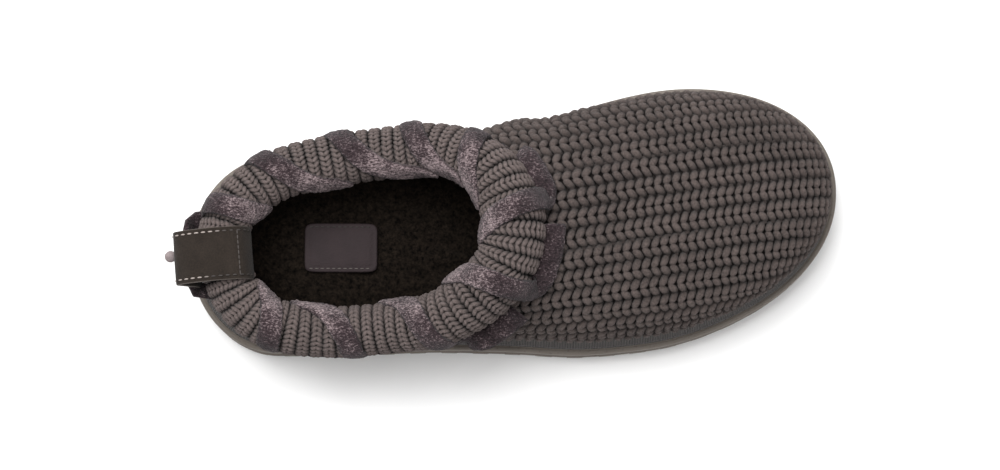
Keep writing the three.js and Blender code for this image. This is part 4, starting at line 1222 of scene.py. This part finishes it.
def lace_strip(starts, ends, before, seed):
    """Points of one wrap: a rounded strip across the route, ruffled by its nap."""
    route = lace_route(starts, ends, before)
    share, angle, base = route[:, 0] / 20.0, route[:, 1], np.clip(route[:, 2], 0, 1)
    on_cuff = cuff_skin(share, angle, mix(LACE_LIFT, 0.1, smooth_step(1.5, 2.7, angle)))
    _, outward, upward, _, _ = cuff_line(share)
    radial = outward * np.cos(angle)[:, None] + upward * np.sin(angle)[:, None]
    point, normal = lace_base(share)
    line = mix(on_cuff, point, base[:, None])
    face = unit(mix(radial, normal, base[:, None]))
    run = np.gradient(line, axis=0)
    across = unit(np.cross(run, face))
    turn = 2 * np.pi * np.arange(LACE_SIDES) / LACE_SIDES
    wide = signed_power(np.cos(turn), 0.62) * LACE_WIDTH / 2
    high = signed_power(np.sin(turn), 0.85) * LACE_THICKNESS / 2
    crown = 0.35 * (1 - (wide / (LACE_WIDTH / 2)) ** 2)
    strip = carry(line, across, face, wide, high + crown)
    nap = waves(strip, 1.7, 24, seed) * 0.16
    middle = strip.mean(1, keepdims=True)
    strip = strip + unit(strip - middle) * nap[..., None]
    # painted shade: the strip's sides are marked for darkening where they meet the cuff, but not
    # near the heel loop
    from_loop = abs((share + 0.5 - LOOP_SHARE) % 1 - 0.5) * CUFF_LENGTH
    clear = smooth_step(LOOP_WIDTH / 2 + 2.0, LOOP_WIDTH / 2 + 7.0, from_loop)
    edge = np.abs(wide) / (LACE_WIDTH / 2) * clear[:, None]
    # painted light: the part of each wrap over the roll's top and down inside is marked for
    # lightening
    inner = np.tile(smooth_step(0.6, 2.6, angle)[:, None], (1, LACE_SIDES))
    return strip, edge, inner


def make_lace(look):
    """All wraps in one piece, each closed at both ends."""
    tubes, edges, inners, offset = [], [], [], 0
    for k, (starts, ends) in enumerate(LACE_WRAPS):
        before = LACE_WRAPS[k - 1][0] - (1 if k == 0 else 0)
        strip, edge, inner = lace_strip(starts, ends, before, 40 + k)
        points, quads, fans = closed_tube(strip)
        tubes.append((points, quads + offset, fans + offset))
        edges.append(np.concatenate([edge.ravel(), [0, 0]]))
        inners.append(np.concatenate([inner.ravel(), [0, 1]]))
        offset += len(points)
    points, quads, fans = (np.concatenate(parts) for parts in zip(*tubes))
    solids = [f"lace_wrap_{k + 1:02d}" for k in range(len(LACE_WRAPS))]
    return make_piece("suede_lace", points, [quads, fans], look, solids,
                      {"edge": np.concatenate(edges), "inner": np.concatenate(inners)},
                      closed=False)


def lace_look():
    """Napped suede, aubergine to lilac: short flecks of worn nap on a dark ground."""
    look = Look("mottled_mauve_suede", Sheen_Weight=0.1, Sheen_Roughness=0.4,
                Specular_IOR_Level=0.15)
    patches = look.noise(150.0, 2.0, 0.6)
    fleck = look.noise(1.0, 2.0, 0.75, look.stretched((950.0, 1500.0, 1300.0)))
    hair = look.noise(2100.0, 2.0, 0.7)
    # painted light: the wrap's part over the roll's top and inside is lightened
    inner = look.attribute("inner")
    tone = fleck * 0.8 + hair * 0.3 + patches * 0.35 + inner * 0.14
    colour = look.blend((0.008, 0.0046, 0.0056), (0.05, 0.034, 0.038), tone.within(0.55, 0.85))
    colour = look.blend(colour, (0.37, 0.29, 0.295), tone.within(0.8, 1.06))
    # painted shade: the lace's side walls are darkened, for the shadow where each wrap meets the
    # cuff
    edge = look.attribute("edge").within(0.9, 1.0)
    colour = look.blend(colour, (0.008, 0.005, 0.006), edge * 0.75)
    return look.finish(Base_Color=colour, Roughness=0.88 + 0.1 * hair,
                       Normal=look.bump(fleck + hair * 0.6, 0.0012, 0.9))


make_lace(lace_look())

# %% [markdown]
# The pull tab at the heel is a strip of olive-brown suede, folded over a little behind the cuff.
# Its section is a thin rectangle with soft corners, carried along the fold's profile. Its cut
# edges are paler than its face, and two rows of stitches run along it with one row across.

# %% Heel tab
LOOP_PROFILE = ((-0.54, 0.0), (-0.53, 0.25), (-0.4, 0.49), (0.0, 0.615), (0.5, 0.58), (0.8, 0.45),
                (0.89, 0.34), (0.87, 0.2), (0.74, -0.03), (0.62, -0.3), (0.565, -0.8))
LOOP_LEAN = math.radians(5.1)
TAB_STEPS, TAB_SIDES = 110, 40


def tab_frame():
    """Points along the middle of the folded strip, with the directions along it, across it and
    off its outer face."""
    centre = cuff_line(np.array([LOOP_SHARE]))[0][0]
    outward = np.array([-math.cos(LOOP_LEAN), -math.sin(LOOP_LEAN), 0.0])
    profile = open_spline(np.array(LOOP_PROFILE) * CUFF_WIDTH, TAB_STEPS)
    line = centre + profile[:, :1] * outward + profile[:, 1:] * np.array([0, 0, 1.0])
    along = unit(np.gradient(line, axis=0))
    across = np.cross(outward, [0, 0, 1.0])
    return line, along, np.broadcast_to(across, line.shape), unit(np.cross(across, along))


def make_tab(look):
    """A soft-cornered section along the fold: half width and half thickness times the signed
    powers of cosine and sine."""
    line, _, across, off = tab_frame()
    turn = 2 * np.pi * np.arange(TAB_SIDES) / TAB_SIDES
    wide = signed_power(np.cos(turn), 0.16) * LOOP_WIDTH / 2
    high = signed_power(np.sin(turn), 0.3) * LOOP_THICKNESS / 2
    strip = carry(line, across, off, wide, high)
    strip = strip + off[:, None] * (waves(strip, 9.0, 16, 71) * 0.12)[..., None]
    edge = np.tile((np.abs(wide) / (LOOP_WIDTH / 2)), (TAB_STEPS, 1))
    points, quads, fans = closed_tube(strip)
    return make_piece("heel_tab", points, [quads, fans], look, ["heel_loop"],
                      {"edge": np.concatenate([edge.ravel(), [1, 1]])}, closed=False)


def tab_look():
    """Fine suede with a short nap: soft clouds, tiny flecks and pale raw edges."""
    look = Look("olive_brown_suede", Sheen_Weight=0.06, Sheen_Roughness=0.5,
                Specular_IOR_Level=0.2)
    cloud = look.noise(110.0, 3.0)
    nap = look.noise(1500.0, 3.0, 0.75)
    tone = (cloud * 0.45 + nap * 0.8).within(0.4, 0.85)
    colour = look.blend((0.008, 0.0054, 0.0038), (0.0255, 0.0185, 0.014), tone)
    raw = look.attribute("edge").within(0.965, 0.995)
    colour = look.blend(colour, (0.12, 0.1, 0.087), raw * 0.7)
    return look.finish(Base_Color=colour, Roughness=0.8 + 0.15 * nap,
                       Normal=look.bump(nap + cloud * 0.4, 0.0004, 0.7))


make_tab(tab_look())

# %% [markdown]
# A stitch of sewing thread is one small bead, like a lobe of yarn but straight and thin. Rows of
# them are set down along the tab's long edges, across it near the cuff, and along the leather
# patch on the insole. A value on each stitch says how far it is darkened.

# %% Sewing thread
THREAD = lobe_shape(6, 6, (-0.5, 0.0), (0.5, 0.0), 0.0, 0.5, 0.0, 0.0, 0.7)


def thread_look():
    """Pale two-ply thread, which the value dull turns to the shade of the suede."""
    look = Look("pale_thread", Roughness=0.7)
    ply = look.noise(3000.0, 2.0)
    colour = look.blend((0.2, 0.17, 0.155), (0.42, 0.36, 0.33), ply)
    colour = look.blend(colour, (0.012, 0.009, 0.008), look.attribute("dull"))
    return look.finish(Base_Color=colour, Normal=look.bump(ply, 0.0003, 0.6))


PALE_THREAD = thread_look()


def sew(name, centres, along, across, up, dull, length=1.7, thick=0.62):
    """A seam of stitches, each a bead of the given length and thickness. dull says how far each
    is darkened."""
    size = np.tile([length, thick, thick], (len(centres), 1))
    points, faces, _ = set_down(THREAD, centres, along, across, up,
                                np.zeros(len(centres), bool), size)
    worn = np.repeat(dull, len(THREAD[0]))
    return make_piece(name, points, faces, PALE_THREAD, values={"dull": worn}, closed=False)


SEAM_INSET, SEAM_STEP, SEAM_LIFT = 1.7, 2.7, 0.12
SEAM_ENDS = (6.0, 14.0)  # mm left free at the inner and at the outer end of the strip
DULL_FROM, DULL_TO, DULL_SLANT = 19.0, 25.0, 3.0  # mm along the strip
CROSS_SEAM_AT, CROSS_SEAM_INSET, CROSS_STITCHES = 12.1, 2.5, 9


def sew_tab():
    """Two rows 1.7 mm in from the tab's edges, 2.7 mm to a stitch, pale where the tab is bent
    and dull towards the inside of the shoe, and one dull row across it."""
    line, along, across, off = tab_frame()
    run = np.concatenate([[0], np.cumsum(np.linalg.norm(np.diff(line, axis=0), axis=1))])
    wanted = np.arange(SEAM_ENDS[0], run[-1] - SEAM_ENDS[1], SEAM_STEP)
    lift = LOOP_THICKNESS / 2 + SEAM_LIFT
    pick = lambda values: np.stack([np.interp(wanted, run, values[:, k]) for k in range(3)], -1)
    parts = []
    for side in (-1, 1):
        middle = pick(line) + pick(across) * side * (LOOP_WIDTH / 2 - SEAM_INSET)
        dull = 0.93 * (1 - smooth_step(DULL_FROM, DULL_TO, wanted + DULL_SLANT * side))
        parts.append((middle + pick(off) * lift, unit(pick(along)), unit(pick(across)),
                      unit(pick(off)), dull))
    reach = LOOP_WIDTH / 2 - CROSS_SEAM_INSET
    cross = np.linspace(-reach, reach, CROSS_STITCHES)
    at = int(np.argmin(abs(run - CROSS_SEAM_AT)))
    middle = line[at] + across[at] * cross[:, None] + off[at] * lift
    copies = lambda vector: np.tile(vector, (len(cross), 1))
    parts.append((middle, copies(across[at]), copies(along[at]), copies(off[at]),
                  np.full(len(cross), 0.88)))
    return sew("tab_stitches", *(np.concatenate(values) for values in zip(*parts)))


sew_tab()

# %% [markdown]
# Where the lace passes behind the tab, its pale knotted end peeps out. It is a plain round bead,
# a little behind the lace.

# %% End of the lace
END_AT, END_SIZE = (-4.6, -5.2, 52.5), (2.4, 2.4, 2.4)


def make_lace_end():
    """One lobe as a ball, in suede as pale as the worn nap."""
    look = Look("pale_lace_end", Roughness=0.9)
    colour = look.blend((0.1, 0.08, 0.08), (0.36, 0.3, 0.3), look.noise(900.0, 3.0, 0.7))
    bead = lobe_shape(10, 14, (-1.0, 0.0), (1.0, 0.0), 0.0, 1.0, 0.0, 0.0, 1.0)
    one = lambda *vector: np.array([vector], float)
    points, faces, _ = set_down(bead, one(*END_AT), one(0, 0, 1), one(1, 0, 0), one(0, 1, 0),
                                np.zeros(1, bool), one(*END_SIZE))
    return make_piece("lace_end", points, faces, look.finish(Base_Color=colour), closed=False)


make_lace_end()

# %% [markdown]
# A small leather patch is sewn to the insole under the heel. It is left bare. It is a rounded
# plate, a little crowned, with its edge pressed down by the seam and a fine leather grain.

# %% Leather patch
PATCH_LENGTH, PATCH_WIDTH, PATCH_LIFT, PATCH_SIDES = 29.6, 20.0, 0.6, 120
PATCH_AT, PATCH_SIDESTEP = 0.235, 1.2
PATCH_SEAM_INSET, PATCH_SEAM_STEP, PATCH_SEAM_HEIGHT = 1.5, 2.3, 1.75


def patch_frame():
    """Middle of the patch's underside, and the directions along, across and up from it."""
    x = PATCH_AT * SOLE_LENGTH
    rise = insole_height(x + PATCH_LENGTH / 2) - insole_height(x - PATCH_LENGTH / 2)
    along = unit(np.array([PATCH_LENGTH, 0.0, float(rise)]))
    up = np.array([-along[2], 0.0, along[0]])
    middle = np.array([x, float(centre_at(x)) + PATCH_SIDESTEP, float(insole_height(x)) + GAP])
    return middle, along, np.array([0.0, 1.0, 0.0]), up


def make_patch(look):
    """Rings of a rounded rectangle, from the foot of the edge over its bevel to the middle."""
    middle, along, across, up = patch_frame()
    turn = 2 * np.pi * np.arange(PATCH_SIDES) / PATCH_SIDES
    square = signed_power(np.stack([np.cos(turn), np.sin(turn)], -1), 0.22)
    profile = ((0.0, 0.0), (0.0, 0.75), (0.3, 1.1), (0.8, 1.2), (1.5, 1.0), (2.2, 1.25),
               (4.0, 1.4), (9.9, 1.45))
    rows = []
    for inset, height in profile:
        half = np.array([PATCH_LENGTH / 2 - inset, PATCH_WIDTH / 2 - inset])
        plan = square * half
        rows.append(middle + plan[:, :1] * along + plan[:, 1:] * across
                    + up * (height + PATCH_LIFT))
    points, quads, fans = closed_tube(np.array(rows))
    return make_piece("leather_patch", points, [quads, fans], look, ["sock_patch"],
                      closed=False)


def patch_look():
    """Smooth plum-grey leather with a fine pebble grain."""
    look = Look("plum_leather", Specular_IOR_Level=0.12)
    grain = look.node("ShaderNodeTexVoronoi", {"feature": "F1"},
                      {"Vector": look.place(), "Scale": 1300.0})
    cloud = look.noise(120.0)
    colour = look.blend((0.0135, 0.0092, 0.0099), (0.031, 0.0222, 0.0236), cloud)
    return look.finish(Base_Color=colour, Roughness=0.6 + 0.2 * cloud,
                       Normal=look.bump(grain + cloud * 0.5, 0.0002, 0.6))


def sew_patch():
    """Stitches along the patch's long sides, 1.5 mm in from the edge. Those on the big-toe side
    are almost lost in the leather's shade."""
    middle, along, across, up = patch_frame()
    half_x, half_y = PATCH_LENGTH / 2 - PATCH_SEAM_INSET, PATCH_WIDTH / 2 - PATCH_SEAM_INSET
    xs = np.arange(-half_x + 1.2, half_x - 0.6, PATCH_SEAM_STEP)
    places = np.concatenate([middle + along * xs[:, None] + across * y
                             for y in (-half_y, half_y)]) + up * PATCH_SEAM_HEIGHT
    dull = np.repeat([0.8, 0.96], len(xs))
    rows = [np.tile(vector, (len(places), 1)) for vector in (along, across, up)]
    return sew("patch_stitches", places, *rows, dull, 1.5, 0.5)


make_patch(patch_look())
sew_patch()

# %% [markdown]
# The stage is a plain pale floor and soft light: one large lamp high behind the big toe's side,
# a second one as a fill, and a bright sky. The floor is no part of the slipper.

# %% Floor and light
def make_floor():
    """A plain pale sheet under the slipper, 6 m wide."""
    mesh = bpy.data.meshes.new("floor")
    reach = 3.0
    mesh.from_pydata([(-reach, -reach, 0), (reach, -reach, 0), (reach, reach, 0),
                      (-reach, reach, 0)], [], [(0, 1, 2, 3)])
    floor = bpy.data.objects.new("floor", mesh)
    bpy.context.scene.collection.objects.link(floor)
    look = Look("pale_floor", Roughness=0.9)
    tone = look.blend((0.9, 0.9, 0.9), (0.92, 0.92, 0.92), look.noise(3.0))
    mesh.materials.append(look.finish(Base_Color=tone))
    return floor


def add_lamp(name, place, size, watts):
    """A square lamp aimed at the middle of the slipper."""
    data = bpy.data.lights.new(name, "AREA")
    data.shape, data.size, data.energy = "SQUARE", size, watts
    lamp = bpy.data.objects.new(name, data)
    lamp.location = place
    aim = Vector((0, 0, 0.04)) - lamp.location
    lamp.rotation_euler = aim.to_track_quat("-Z", "Y").to_euler()
    bpy.context.scene.collection.objects.link(lamp)
    return lamp


make_floor()
add_lamp("key_lamp", (-0.3, 0.42, 1.5), 1.1, 42.0)
add_lamp("fill_lamp", (0.5, -0.5, 1.5), 1.2, 8.0)
world = bpy.data.worlds.new("sky")
world.use_nodes = True
world.node_tree.nodes["Background"].inputs["Color"].default_value = (1, 1, 1, 1)
world.node_tree.nodes["Background"].inputs["Strength"].default_value = 0.3
bpy.context.scene.world = world
